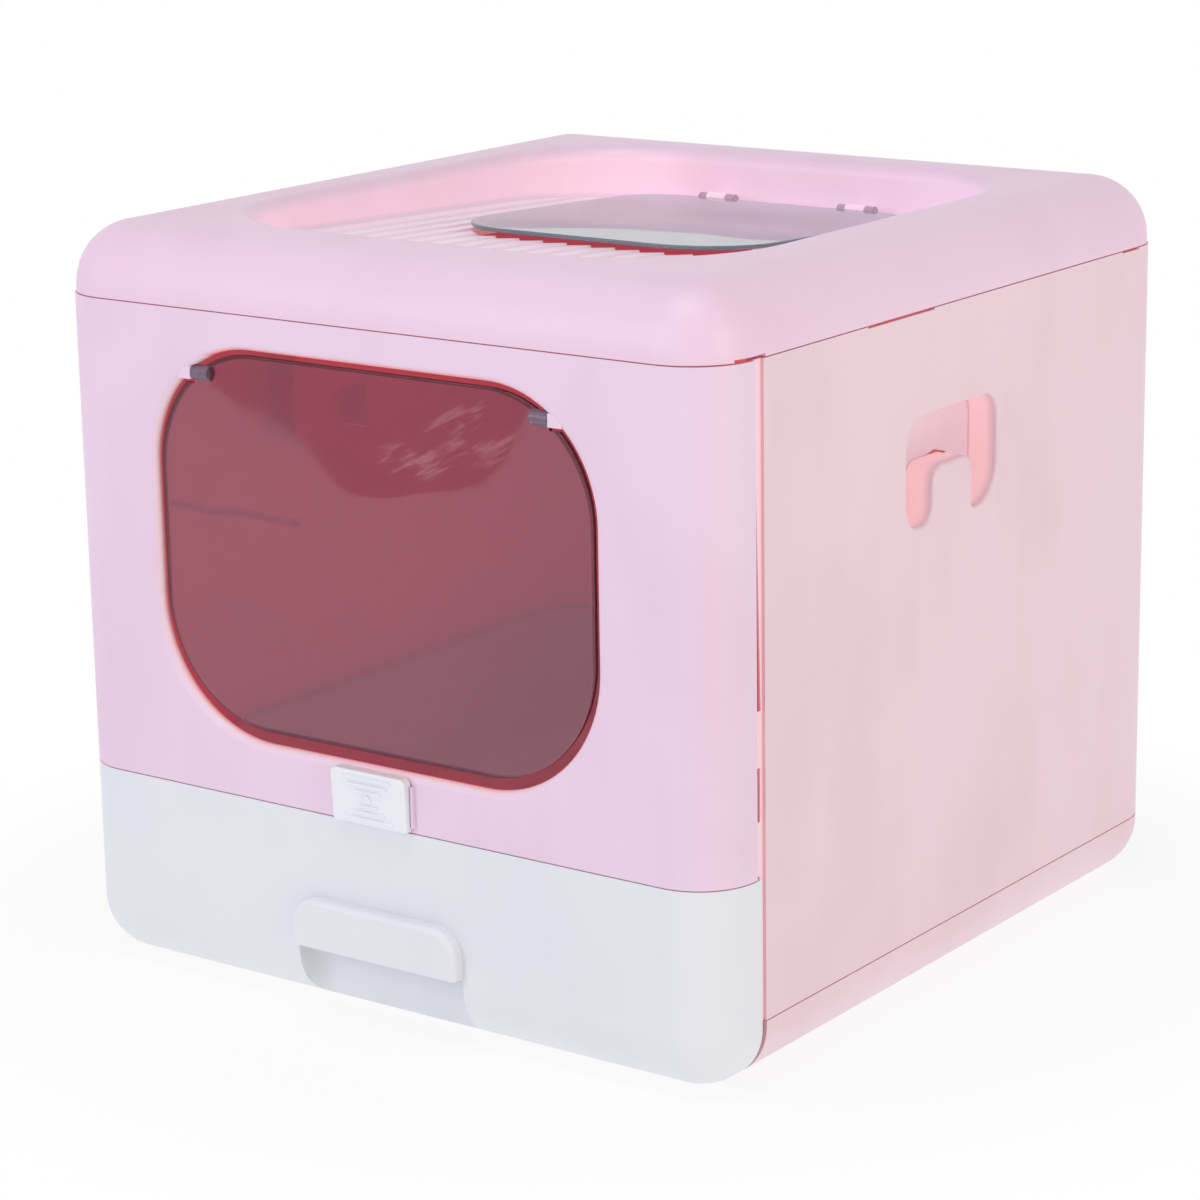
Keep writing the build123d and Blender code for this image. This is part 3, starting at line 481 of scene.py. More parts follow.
class BodyForm:
    """The body's outer form, so that a material knows how deep behind its skin a face lies.

    Attributes:
        step: Width over which a mask's edge goes from 0 to 1.
        half_width, half_depth, middle_y, underside, edge_radius: The rounded block.
        hook_depth, hook_middle, hook_half, hook_radius: A hook recess; middle and half in Y and Z.
        hook_skin: How far the recess's paint reaches past its outline, over the rounded brim.
        tongue_middle, tongue_half, tongue_top, tongue_radius: The tongue in the recess.
        tongue_skin: How far past the tongue's outline the recess begins.
        strip_y: Ends of the side panels' low strip beside the front panel.
        doorway_half, doorway_z: The room round the front opening.
        well_half, well_rim, deck_height, deck_fall: The cover's well and its sloping deck.
    """

    step = 0.2 * MM
    half_width = 200 * MM
    half_depth = 215 * MM
    middle_y = 3.5 * MM
    underside = 1.5 * MM
    edge_radius = 30 * MM
    hook_depth = 17.4 * MM
    tongue_middle = -4.5 * MM
    tongue_half = 18.5 * MM
    tongue_top = 270.5 * MM
    tongue_radius = 8.5 * MM
    tongue_skin = 0.8 * MM
    hook_middle = (-4.65 * MM, 270.25 * MM)
    hook_half = (43.15 * MM, 27.25 * MM)
    hook_radius = 13.5 * MM
    hook_skin = 1.2 * MM
    strip_y = (-178.6 * MM, -172.3 * MM)
    doorway_half = 140 * MM
    doorway_z = (128 * MM, 326 * MM)
    well_half = (148 * MM, 163 * MM)
    well_rim = 384 * MM
    deck_height = 361.6 * MM
    deck_fall = 0.0419

    def __init__(self, make: Maker) -> None:
        """Keeps the maker whose material asks."""
        self.x, self.y, self.z = make.axes()

    def depth(self) -> Wire:
        """How far a point lies behind the skin of the rounded block.

        Returns:
            The depth, 0 on the block's surface.
        """
        past_x = abs(self.x) - (self.half_width - self.edge_radius)
        past_y = abs(self.y - self.middle_y) - (self.half_depth - self.edge_radius)
        past_z = (self.underside + self.edge_radius) - self.z
        over_x, over_y, over_z = past_x.most(0), past_y.most(0), past_z.most(0)
        corner = (over_x * over_x + over_y * over_y + over_z * over_z).root()
        middle = past_x.most(past_y).most(past_z).least(0)
        return self.edge_radius - corner - middle

    def hook_hollow(self) -> Wire:
        """Finds the room of the two hook recesses.

        Returns:
            1 in the recesses and 0 elsewhere, such as behind their tongues.
        """
        floor_x = self.half_width - self.hook_depth
        room = abs(self.x).ramp(floor_x - self.step, floor_x)
        from_middle = (abs(self.y - self.hook_middle[0]), abs(self.z - self.hook_middle[1]))
        outline = self.rounded(from_middle, self.hook_half, self.hook_radius)
        room = room * outline.ramp(-self.hook_skin - self.step, -self.hook_skin)
        from_tongue = (abs(self.y - self.tongue_middle), self.z)
        behind = self.rounded(from_tongue, (self.tongue_half, self.tongue_top), self.tongue_radius)
        return room * behind.ramp(self.tongue_skin + self.step, self.tongue_skin)

    def joint_strip(self) -> Wire:
        """1 on the side panels' low strip beside the front panel, which looks like their skin."""
        return self.between(self.y, self.strip_y)

    def doorway(self) -> Wire:
        """1 around the front opening and 0 elsewhere."""
        beside = abs(self.x).ramp(self.doorway_half + self.step, self.doorway_half)
        return beside * self.between(self.z, self.doorway_z)

    def over_deck(self) -> Wire:
        """How high a point lies above the sloping deck of the cover's well."""
        return self.z - (self.deck_height - self.deck_fall * (self.y - self.middle_y))

    def well_room(self) -> Wire:
        """Finds the cover's well.

        Returns:
            1 on its walls and its deck, and 0 on its rim.
        """
        half_x, half_y = self.well_half
        inner = abs(self.x).ramp(half_x + 10 * MM, half_x - 2 * MM)
        inner = inner * abs(self.y - self.middle_y).ramp(half_y + 10 * MM, half_y - 2 * MM)
        return inner * self.z.ramp(self.well_rim, self.well_rim - 9 * MM)

    def rounded(
        self, place: tuple[Wire, Wire], half: tuple[float, float], radius: float
    ) -> Wire:
        """How far a point lies inside a rectangle with round corners, near its border.

        Args:
            place: Distance of the point from the middle, along each side.
            half: Half the length of each side.
            radius: Radius of the corners.

        Returns:
            The distance, positive inside and never more than the radius.
        """
        over = [(value - (size - radius)).most(0) for value, size in zip(place, half)]
        return radius - (over[0] * over[0] + over[1] * over[1]).root()

    def between(self, value: Wire, ends: tuple[float, float]) -> Wire:
        """1 where a value lies between two ends."""
        low, high = ends
        return value.ramp(low - self.step, low) * value.ramp(high + self.step, high)


@dataclass(frozen=True)
class SmokePlastic:
    """Clear plastic with a smoky tint.

    Attributes:
        name: Material name.
        tint: What one wall of it lets through.
        haze_and_reflection: Colour of the faint film on it; on the lid it is mostly a painted
            reflection of the bright room.
        haze_share: How much of the film covers what is behind.
        lamp_tint: What one wall lets through of the light that falls into the box.
        scratched: True where hands and paws have rubbed it.
        sheen: Tint of what its polished face mirrors.
        hinge_height: Z of the flap's axis.
        knuckle_span: Where a knuckle of the flap begins and ends, from the middle.
        flap_half, flap_z, flap_radius: The flap's outline.
        smear_height, smear_span: Z of the thin dark smear on the flap, and its ends along X.
        rubbed_spots: X, Z, half width, half height and strength of each rubbed patch.
        rubbed: Colour of the rubbed marks.
        thick: Colour of its thick hinge parts, which let less light through.
        rim: Colour painted along its rim: painted shade, the dark edge that the flap's thickness
            shows.
    """

    name: str
    tint: Colour
    haze_and_reflection: Colour
    haze_share: float
    lamp_tint: Colour
    scratched: bool = False
    sheen: Colour = (0.78, 0.73, 0.82)
    hinge_height: ClassVar[float] = 317 * MM
    knuckle_span: ClassVar[tuple[float, float]] = (97.4 * MM, 108.2 * MM)
    flap_half: ClassVar[float] = 131.6 * MM
    flap_z: ClassVar[tuple[float, float]] = (140 * MM, 328.5 * MM)
    flap_radius: ClassVar[float] = 62 * MM
    smear_height: ClassVar[float] = 249 * MM
    smear_span: ClassVar[tuple[float, float]] = (-128 * MM, -44 * MM)
    rubbed_spots: ClassVar[Sequence[Sequence[float]]] = (
        (64 * MM, 307 * MM, 32 * MM, 17 * MM, 0.8),
        (28 * MM, 288 * MM, 24 * MM, 9 * MM, 1.0),
        (20 * MM, 148 * MM, 22 * MM, 2 * MM, 0.5),
    )
    rubbed: Colour = linear(205, 150, 165)
    thick: Colour = linear(128, 110, 132)
    # Painted shade along the flap's edge.
    rim: Colour = linear(98, 34, 46)

    def make(self) -> bpy.types.Material:
        """Builds the material.

        Returns:
            The finished material.
        """
        make = Maker(bpy.data.materials.new(self.name))
        clouds = make.noise(0.06, detail=3.0)
        rough = 0.02 + 0.03 * clouds.ramp(0.45, 0.7)
        film: Number = self.haze_share + 0.05 * (clouds - 0.5)
        film_and_reflection_colour: Any = self.haze_and_reflection
        height = make.noise(0.09, detail=1.0)
        if self.scratched:
            rubs = self.rub_marks(make)
            rough = rough + 0.25 * rubs
            film = film + 0.16 * rubs
            film_and_reflection_colour = make.blend(rubs.ramp(0, 0.3), self.haze_and_reflection, self.rubbed)
        normal = make.bump(height, 0.0004)
        hinges, rim = self.thick_parts(make)
        # Painted shade: a dark film along the flap's rim stands in for the dark edge of its
        # thickness.
        film = film.most(0.6 * hinges).most(0.7 * rim)
        clear = make.shader(
            Base_Color=self.tint,
            Roughness=rough,
            IOR=1.6,
            Specular_Tint=self.sheen,
            Transmission_Weight=1.0,
            Normal=normal,
        )
        open_air = make.node("ShaderNodeBsdfTransparent", inputs={"Color": self.lamp_tint})
        glass = make.mixed(make.rays("Shadow", "Diffuse"), clear, open_air.outputs["BSDF"])
        film_shader = make.shader(
            Base_Color=make.blend(hinges, make.blend(rim, film_and_reflection_colour, self.rim), self.thick),
            Roughness=0.3,
            Specular_IOR_Level=0.3,
        )
        return make.done(make.mixed(film, glass, film_shader))

    def thick_parts(self, make: Maker) -> tuple[Wire, Wire]:
        """Finds the parts that let less light through, and the rim that takes painted shade.

        Args:
            make: Maker of the material.

        Returns:
            1 on the flap's knuckles and the lid's lugs, and 1 along the flap's rim where painted
            shade goes, with the thin smear on the flap at 0.3.
        """
        body = BodyForm(make)
        width = abs(body.x)
        hinge_low, hinge_high = self.knuckle_span
        beside = width.ramp(hinge_low - body.step, hinge_low)
        beside = beside * width.ramp(hinge_high + body.step, hinge_high)
        near = abs(body.z - self.hinge_height).ramp(4.0 * MM, 3.8 * MM)
        lugs = body.y.ramp(150.4 * MM, 151.0 * MM)
        low, high = self.flap_z
        from_middle = (width, abs(body.z - (low + high) / 2))
        inset = body.rounded(from_middle, (self.flap_half, (high - low) / 2), self.flap_radius)
        in_front = body.y.ramp(-0.19, -0.20)
        rim = inset.ramp(2.2 * MM, 1.2 * MM) * in_front
        wander = 4 * MM * (make.noise(0.03) - 0.5)
        smear = abs(body.z - self.smear_height + wander).ramp(3.2 * MM, 0.6 * MM)
        smear = smear * body.between(body.x, self.smear_span)
        return (beside * near).most(lugs), rim.most(0.3 * smear * in_front)

    def rub_marks(self, make: Maker) -> Wire:
        """Makes faint rubbed patches on the flap out of short slanted strokes.

        Args:
            make: Maker of the material.

        Returns:
            How rubbed each point is.
        """
        x, _, z = make.axes()
        strokes = make.noise(
            0.012, detail=4.0, rough=0.7, point=make.stretched((0.4, 1.0, 2.4), (0, -0.47, 0))
        )
        marks: Number = 0
        for middle_x, middle_z, half_x, half_z, strength in self.rubbed_spots:
            across = (x - middle_x) / half_x
            down = (z - middle_z) / half_z
            spot = (across * across + down * down).ramp(1.3, 0.2)
            marks = marks + strength * spot
        return marks * strokes.ramp(0.46, 0.64)


@dataclass(frozen=True)
class PadRubber:
    """Soft grey rubber of the anti-slip pads."""

    name: str = "pad_rubber"
    colour: Colour = linear(150, 150, 154)

    def make(self) -> bpy.types.Material:
        """Builds the material.

        Returns:
            The finished material.
        """
        make = Maker(bpy.data.materials.new(self.name))
        mottle = make.noise(0.006, detail=4.0, rough=0.7)
        dark = tuple(0.72 * value for value in self.colour)
        colour = make.blend(mottle.ramp(0.4, 0.7), self.colour, dark)
        surface = make.shader(
            Base_Color=colour,
            Roughness=0.78 + 0.12 * mottle,
            IOR=1.45,
            Normal=make.bump(make.noise(0.0012), 0.00008),
        )
        return make.done(surface)


@dataclass(frozen=True)
class PlatedSteel:
    """Zinc-plated steel of the screws and hinge pins."""

    name: str = "plated_steel"
    colour: Colour = linear(196, 198, 202)

    def make(self) -> bpy.types.Material:
        """Builds the material.

        Returns:
            The finished material.
        """
        make = Maker(bpy.data.materials.new(self.name))
        cloud = make.noise(0.003, detail=3.0)
        warm = linear(186, 180, 166)
        colour = make.blend(cloud.ramp(0.5, 0.8), self.colour, warm)
        surface = make.shader(
            Base_Color=colour,
            Metallic=1.0,
            Roughness=0.26 + 0.16 * cloud,
            Normal=make.bump(make.noise(0.0008, point=make.stretched((1, 0.2, 1))), 0.00001),
        )
        return make.done(surface)


# Painted light: the red-orange that light through the pink walls gives the inside of the shell; the
# plastic there is the same pink.
INNER_RED_LIGHT_PAINT = linear(226, 92, 74)
WALL_GLOW = (0.075, 0.040, 0.062)
PINK = MouldedPlastic(
    name="pink_plastic",
    colour=linear(229, 203, 214),
    shade=linear(225, 197, 208),
    inner=INNER_RED_LIGHT_PAINT,
    glow=WALL_GLOW,
    # The recess colour is painted light on the hook recess walls.
    recess=linear(236, 198, 206),
    recess_glow=(0.24, 0.17, 0.15),
)
# The rear panel's sunken field is still skin, so its joint colour starts deeper.
REAR_PINK = replace(PINK, name="pink_rear_plastic", joint_depth=(1.0 * MM, 1.8 * MM))
# A bluer copy of PINK: painted light, the cool tint that light from the front gives the one pink
# plastic of the front panel.
FRONT_PINK = MouldedPlastic(
    name="pink_front_plastic",
    colour=linear(229, 205, 225),
    shade=linear(225, 199, 219),
    inner=INNER_RED_LIGHT_PAINT,
    glow=WALL_GLOW,
    # Painted highlight on the opening's rolled edge.
    rolled=linear(238, 210, 220),
    rolled_glow=(0.03, 0.015, 0.01),
)
# Also a bluer copy of PINK: painted cool front light on the cover.
COVER = MouldedPlastic(
    name="pink_cover_plastic",
    colour=linear(230, 202, 222),
    shade=linear(227, 197, 217),
    well_glow=((0.25, 0.17, 0.16), (0.22, 0.19, 0.22)),
    deck_glow=(0.10, 0.13, 0.11),
)
WHITE = MouldedPlastic(
    name="white_plastic",
    colour=linear(224, 226, 231),
    shade=linear(220, 223, 228),
    roughness=0.44,
)
# A lighter copy of WHITE: painted light that brightens the lock plate, which faces slightly down;
# the plastic is the same white.
LOCK_WHITE = replace(
    WHITE,
    name="lock_white_plastic",
    colour=linear(232, 235, 239),
    shade=linear(228, 231, 236),
)
GLIDE = MouldedPlastic(
    name="glide_plastic",
    colour=linear(220, 220, 218),
    shade=linear(208, 208, 207),
    roughness=0.36,
    mould=Mould.POLISHED,
    coat=0.0,
)
FLAP_SMOKE = SmokePlastic(
    name="flap_smoke_plastic",
    tint=(0.66, 0.66, 0.76),
    haze_and_reflection=linear(150, 95, 130),
    haze_share=0.03,
    lamp_tint=(0.60, 0.26, 0.25),
    scratched=True,
)
LID_SMOKE = SmokePlastic(
    name="lid_smoke_plastic",
    tint=(0.62, 0.66, 0.72),
    # On the lid the film is mostly painted reflection: a pale grey-blue over about a fifth of it,
    # for the bright room that the lid mirrors.
    haze_and_reflection=linear(156, 208, 220),
    haze_share=0.22,
    lamp_tint=(0.92, 0.36, 0.35),
    thick=linear(226, 194, 212),
)


# ------------ hand modelling


def clear_selection() -> None:
    """Deselects every object, so that an operator acts only on what is picked next."""
    if bpy.context.object is not None and bpy.context.object.mode != "OBJECT":
        bpy.ops.object.mode_set(mode="OBJECT")
    bpy.ops.object.select_all(action="DESELECT")


def pick(obj: bpy.types.Object) -> None:
    """Makes obj the only selected object and the active one."""
    clear_selection()
    obj.select_set(True)
    bpy.context.view_layer.objects.active = obj


def pick_faces(obj: bpy.types.Object, test: Callable[[Vector, Vector], bool]) -> None:
    """Enters edit mode with only the faces selected that pass a test.

    Args:
        obj: The mesh object.
        test: Takes a face's centre and normal, and says whether it is picked.
    """
    pick(obj)
    bpy.ops.object.mode_set(mode="EDIT")
    bpy.ops.mesh.select_mode(type="FACE")
    bpy.ops.mesh.select_all(action="DESELECT")
    bpy.ops.object.mode_set(mode="OBJECT")
    for face in obj.data.polygons:
        face.select = test(face.center, face.normal)
    bpy.ops.object.mode_set(mode="EDIT")


def settle(obj: bpy.types.Object, smooth_angle: float = 35.0) -> bpy.types.Object:
    """Applies a piece's place and turn to its mesh, and shades it smooth over gentle edges.

    Args:
        obj: The piece.
        smooth_angle: Edges flatter than this, in degrees, are shaded smooth.

    Returns:
        The piece.
    """
    pick(obj)
    bpy.ops.object.transform_apply(location=True, rotation=True, scale=True)
    bpy.ops.object.mode_set(mode="EDIT")
    bpy.ops.mesh.select_all(action="SELECT")
    bpy.ops.mesh.normals_make_consistent(inside=False)
    bpy.ops.object.mode_set(mode="OBJECT")
    bpy.ops.object.shade_smooth_by_angle(angle=math.radians(smooth_angle))
    return obj


def join(pieces: Sequence[bpy.types.Object], name: str) -> bpy.types.Object:
    """Joins pieces into one object.

    Args:
        pieces: The pieces; the first one keeps its place.
        name: Name of the result.

    Returns:
        The joined object.
    """
    clear_selection()
    for piece in pieces:
        piece.select_set(True)
    bpy.context.view_layer.objects.active = pieces[0]
    if len(pieces) > 1:
        bpy.ops.object.join()
    pieces[0].name = name
    pieces[0].data.name = name
    return pieces[0]


def dress(names: Iterable[str], nodes: Mapping[str, Any], material: bpy.types.Material) -> None:
    """Gives solids of the frame a material.

    Args:
        names: The nodes' names.
        nodes: The frame's nodes.
        material: The material that fills every slot.
    """
    for name in names:
        slots = nodes[name].material_slots
        for slot in slots:
            slot.material = material
        if not slots:
            nodes[name].data.materials.append(material)
        LOG.info("%s: %s", name, material.name)


# ------------ sub-assemblies


@dataclass
class ScrewSet:
    """Round-head screws with a cross recess, in place of plain ones.

    Attributes:
        name: Name of the joined piece.
        node: The solid that they stand for.
        body: The body that they ride on.
        spots: X and Z of each screw.
        head_radius: Radius of a head.
        head_height: Height of a head.
        shank_radius: Radius of a shank.
        seat_y: Y of the face under the heads.
        shank_length: Length of a shank, towards -Y.
    """

    name: str
    node: str
    body: str
    spots: Sequence[tuple[float, float]]
    head_radius: float
    head_height: float
    shank_radius: float
    seat_y: float = field(init=False)
    shank_length: float = field(init=False)

    def __post_init__(self) -> None:
        """Reads the seat and the length off the solids."""
        low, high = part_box(self.node)
        self.seat_y = high.y - self.head_height
        self.shank_length = self.seat_y - low.y

    def build(self, material: bpy.types.Material) -> bpy.types.Object:
        """Models the screws and puts them in place.

        Args:
            material: Their finish.

        Returns:
            The joined piece.
        """
        screws = [self.one_screw(x, z, material) for x, z in self.spots]
        piece = settle(join(screws, self.name))
        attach(piece, self.body)
        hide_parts(self.node)
        LOG.info("%s: %d screws", self.name, len(self.spots))
        return piece

    def one_screw(self, x: float, z: float, material: bpy.types.Material) -> bpy.types.Object:
        """Models one screw along Y, its domed head towards the back.

        Args:
            x: X of its axis.
            z: Z of its axis.
            material: Its finish.

        Returns:
            The screw.
        """
        head_plan = (32, self.head_radius, self.head_height, 0.45 * self.head_height, 4)
        shank_plan = (24, self.shank_radius, -self.shank_length, 0.4 * self.shank_radius, 2)
        head, shank = (self.rod(x, z, *plan) for plan in (head_plan, shank_plan))
        self.cut_cross(head, x, z)
        screw = join([head, shank], "screw")
        screw.data.materials.clear()
        screw.data.materials.append(material)
        return screw

    def rod(
        self, x: float, z: float, sides: int, radius: float, reach: float, bevel: float, steps: int
    ) -> bpy.types.Object:
        """Models a rod along Y that starts at the seat and has a rounded far end.

        Args:
            x: X of its axis.
            z: Z of its axis.
            sides: How many sides it has.
            radius: Its radius.
            reach: How far it reaches from the seat, below 0 towards -Y.
            bevel: Width of the rounding.
            steps: How many steps the rounding has.

        Returns:
            The rod.
        """
        clear_selection()
        bpy.ops.mesh.primitive_cylinder_add(
            vertices=sides,
            radius=radius,
            depth=abs(reach),
            location=(x, self.seat_y + reach / 2, z),
            rotation=(math.radians(-90), 0, 0),
        )
        made = bpy.context.object
        bpy.ops.object.transform_apply(location=True, rotation=True, scale=True)
        side = math.copysign(1, reach)
        pick_faces(made, lambda centre, normal: side * normal.y > 0.9)
        bpy.ops.mesh.bevel(offset=bevel, segments=steps, affect="EDGES")
        bpy.ops.object.mode_set(mode="OBJECT")
        return made

    def cut_cross(self, head: bpy.types.Object, x: float, z: float) -> None:
        """Cuts the cross recess into a head with two crossed blocks.

        Args:
            head: The head.
            x: X of its axis.
            z: Z of its axis.
        """
        outer = self.seat_y + self.head_height
        length = self.head_radius * 1.15
        width = self.head_radius * 0.26
        depth = self.head_height * 0.55
        for turned in (False, True):
            clear_selection()
            bpy.ops.mesh.primitive_cube_add(size=1, location=(x, outer, z))
            cutter = bpy.context.object
            cutter.scale = (width, 2 * depth, length) if turned else (length, 2 * depth, width)
            bpy.ops.object.transform_apply(location=True, rotation=True, scale=True)
            pick(head)
            cut = head.modifiers.new("cross", "BOOLEAN")
            cut.operation = "DIFFERENCE"
            cut.object = cutter
            bpy.ops.object.modifier_apply(modifier=cut.name)
            bpy.data.objects.remove(cutter)


@dataclass
class PadSet:
    """The four rubber pads under the base, each with two ring grooves.

    Attributes:
        radius: Radius of a pad.
        height: Height of a pad.
        groove_rings: Inner and outer radius of each groove, as shares of the pad's radius.
        groove_depth: How deep the grooves are.
    """

    radius: float = 12 * MM
    height: float = 2.3 * MM
    groove_rings: Sequence[tuple[float, float]] = ((0.34, 0.46), (0.64, 0.76))
    groove_depth: float = 0.6 * MM

    def build(self, material: bpy.types.Material) -> bpy.types.Object:
        """Models the pads where the solids are.

        Args:
            material: The rubber.

        Returns:
            The joined piece.
        """
        low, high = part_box("anti_slip_pads")
        left, front = low.x + self.radius, low.y + self.radius
        first = self.one_pad(left, front)
        pads = [first]
        for x in (left, high.x - self.radius):
            for y in (front, high.y - self.radius):
                if (x, y) != (left, front):
                    pads.append(self.copy_of(first, x - left, y - front))
        piece = join(pads, "anti_slip_rubber_pads")
        piece.data.materials.clear()
        piece.data.materials.append(material)
        settle(piece)
        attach(piece, "shell")
        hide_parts("anti_slip_pads")
        LOG.info("anti_slip_rubber_pads: %d pads", len(pads))
        return piece

    def one_pad(self, x: float, y: float) -> bpy.types.Object:
        """Models one pad, its grooved face on the floor.

        Args:
            x: X of its middle.
            y: Y of its middle.

        Returns:
            The pad.
        """
        clear_selection()
        bpy.ops.mesh.primitive_cylinder_add(
            vertices=48, radius=self.radius, depth=self.height, location=(x, y, self.height / 2)
        )
        pad = bpy.context.object
        bpy.ops.object.transform_apply(location=True, rotation=True, scale=True)
        rings = sorted((share for ring in self.groove_rings for share in ring), reverse=True)
        reach = 1.0
        for number, share in enumerate(rings):
            pick_faces(pad, self.is_middle(x, y))
            bpy.ops.mesh.inset(thickness=(reach - share) * self.radius, depth=0)
            lift = self.groove_depth if number % 2 == 0 else -self.groove_depth
            bpy.ops.object.mode_set(mode="OBJECT")
            reach = share
            pick_faces(pad, self.is_middle(x, y))
            bpy.ops.mesh.extrude_region_move(TRANSFORM_OT_translate={"value": (0, 0, lift)})
            bpy.ops.object.mode_set(mode="OBJECT")
        return pad

    def is_middle(self, x: float, y: float) -> Callable[[Vector, Vector], bool]:
        """Makes a test that picks the one flat face in the middle of a pad's underside.

        Args:
            x: X of the pad's middle.
            y: Y of the pad's middle.

        Returns:
            The test, which takes a face's centre and normal.
        """

        def test(centre: Vector, normal: Vector) -> bool:
            """True for a face that points down at the pad's axis."""
            return normal.z < -0.9 and math.hypot(centre.x - x, centre.y - y) < 0.0005

        return test

    def copy_of(self, first: bpy.types.Object, right: float, back: float) -> bpy.types.Object:
        """Copies a pad with its own mesh.

        Args:
            first: The pad.
            right: How far the copy is moved along X.
            back: How far it is moved along Y.

        Returns:
            The copy.
        """
        twin = first.copy()
        twin.data = first.data.copy()
        twin.data.transform(Matrix.Translation((right, back, 0)))
        bpy.context.scene.collection.objects.link(twin)
        return twin


@dataclass
class Shell:
    """The pink shell: base, walls and cover, with the white glides on its floor."""

    wall_nodes: Sequence[str] = ("base_tray", "side_panel_left", "side_panel_right")
    glide_nodes: Sequence[str] = ("drawer_glide_left", "drawer_glide_right")
    pads: PadSet = field(default_factory=PadSet)

    def build(self, nodes: Mapping[str, Any]) -> None:
        """Dresses the shell and adds its pads.

        Args:
            nodes: The frame's nodes.
        """
        dress(self.wall_nodes, nodes, PINK.make())
        dress(("rear_panel",), nodes, REAR_PINK.make())
        dress(("front_panel",), nodes, FRONT_PINK.make())
        dress(("top_cover",), nodes, COVER.make())
        dress(self.glide_nodes, nodes, GLIDE.make())
        self.pads.build(PadRubber().make())


@dataclass
class Doors:
    """The smoke-tinted flap in front and lid on top, with the lid's pins."""

    def build(self, nodes: Mapping[str, Any], steel: bpy.types.Material) -> None:
        """Dresses the flap, the lid and the pins.

        Args:
            nodes: The frame's nodes.
            steel: The finish of the pins.
        """
        dress(("front_flap",), nodes, FLAP_SMOKE.make())
        dress(("flip_lid",), nodes, LID_SMOKE.make())
        dress(("flip_lid_pin_left", "flip_lid_pin_right"), nodes, steel)


@dataclass
class Drawer:
    """The white drawer with its front, pan and screws."""

    screws: ScrewSet = field(
        default_factory=lambda: ScrewSet(
            name="drawer_cross_screws",
            node="drawer_screws",
            body="drawer",
            spots=[(x, z) for x in (-120 * MM, 120 * MM) for z in (37 * MM, 82 * MM)],
            head_radius=3.2 * MM,
            head_height=2.0 * MM,
            shank_radius=1.5 * MM,
        )
    )

    def build(self, nodes: Mapping[str, Any], steel: bpy.types.Material) -> None:
        """Dresses the drawer and models its screws.

        Args:
            nodes: The frame's nodes.
            steel: The finish of the screws.
        """
        dress(("drawer_front", "drawer_pan"), nodes, WHITE.make())
        self.screws.build(steel)


@dataclass
class Lock:
    """The white lock slider with its retainer and screws."""

    screws: ScrewSet = field(
        default_factory=lambda: ScrewSet(
            name="lock_cross_screws",
            node="lock_screws",
            body="lock",
            spots=[(-4.5 * MM, 122 * MM), (4.5 * MM, 122 * MM)],
            head_radius=1.9 * MM,
            head_height=1.4 * MM,
            shank_radius=1.0 * MM,
        )
    )

    def build(self, nodes: Mapping[str, Any], steel: bpy.types.Material) -> None:
        """Dresses the lock and models its screws.

        Args:
            nodes: The frame's nodes.
            steel: The finish of the screws.
        """
        dress(("lock_slider", "lock_retainer"), nodes, LOCK_WHITE.make())
        self.screws.build(steel)


# ------------ studio


@dataclass(frozen=True)
class SoftLamp:
    """One large round lamp.

    Attributes:
        name: Its name.
        place: Where it hangs.
        size: Its diameter.
        power: Its power in watts.
        colour: Colour of its light.
    """

    name: str
    place: tuple[float, float, float]
    size: float
    power: float
    colour: Colour


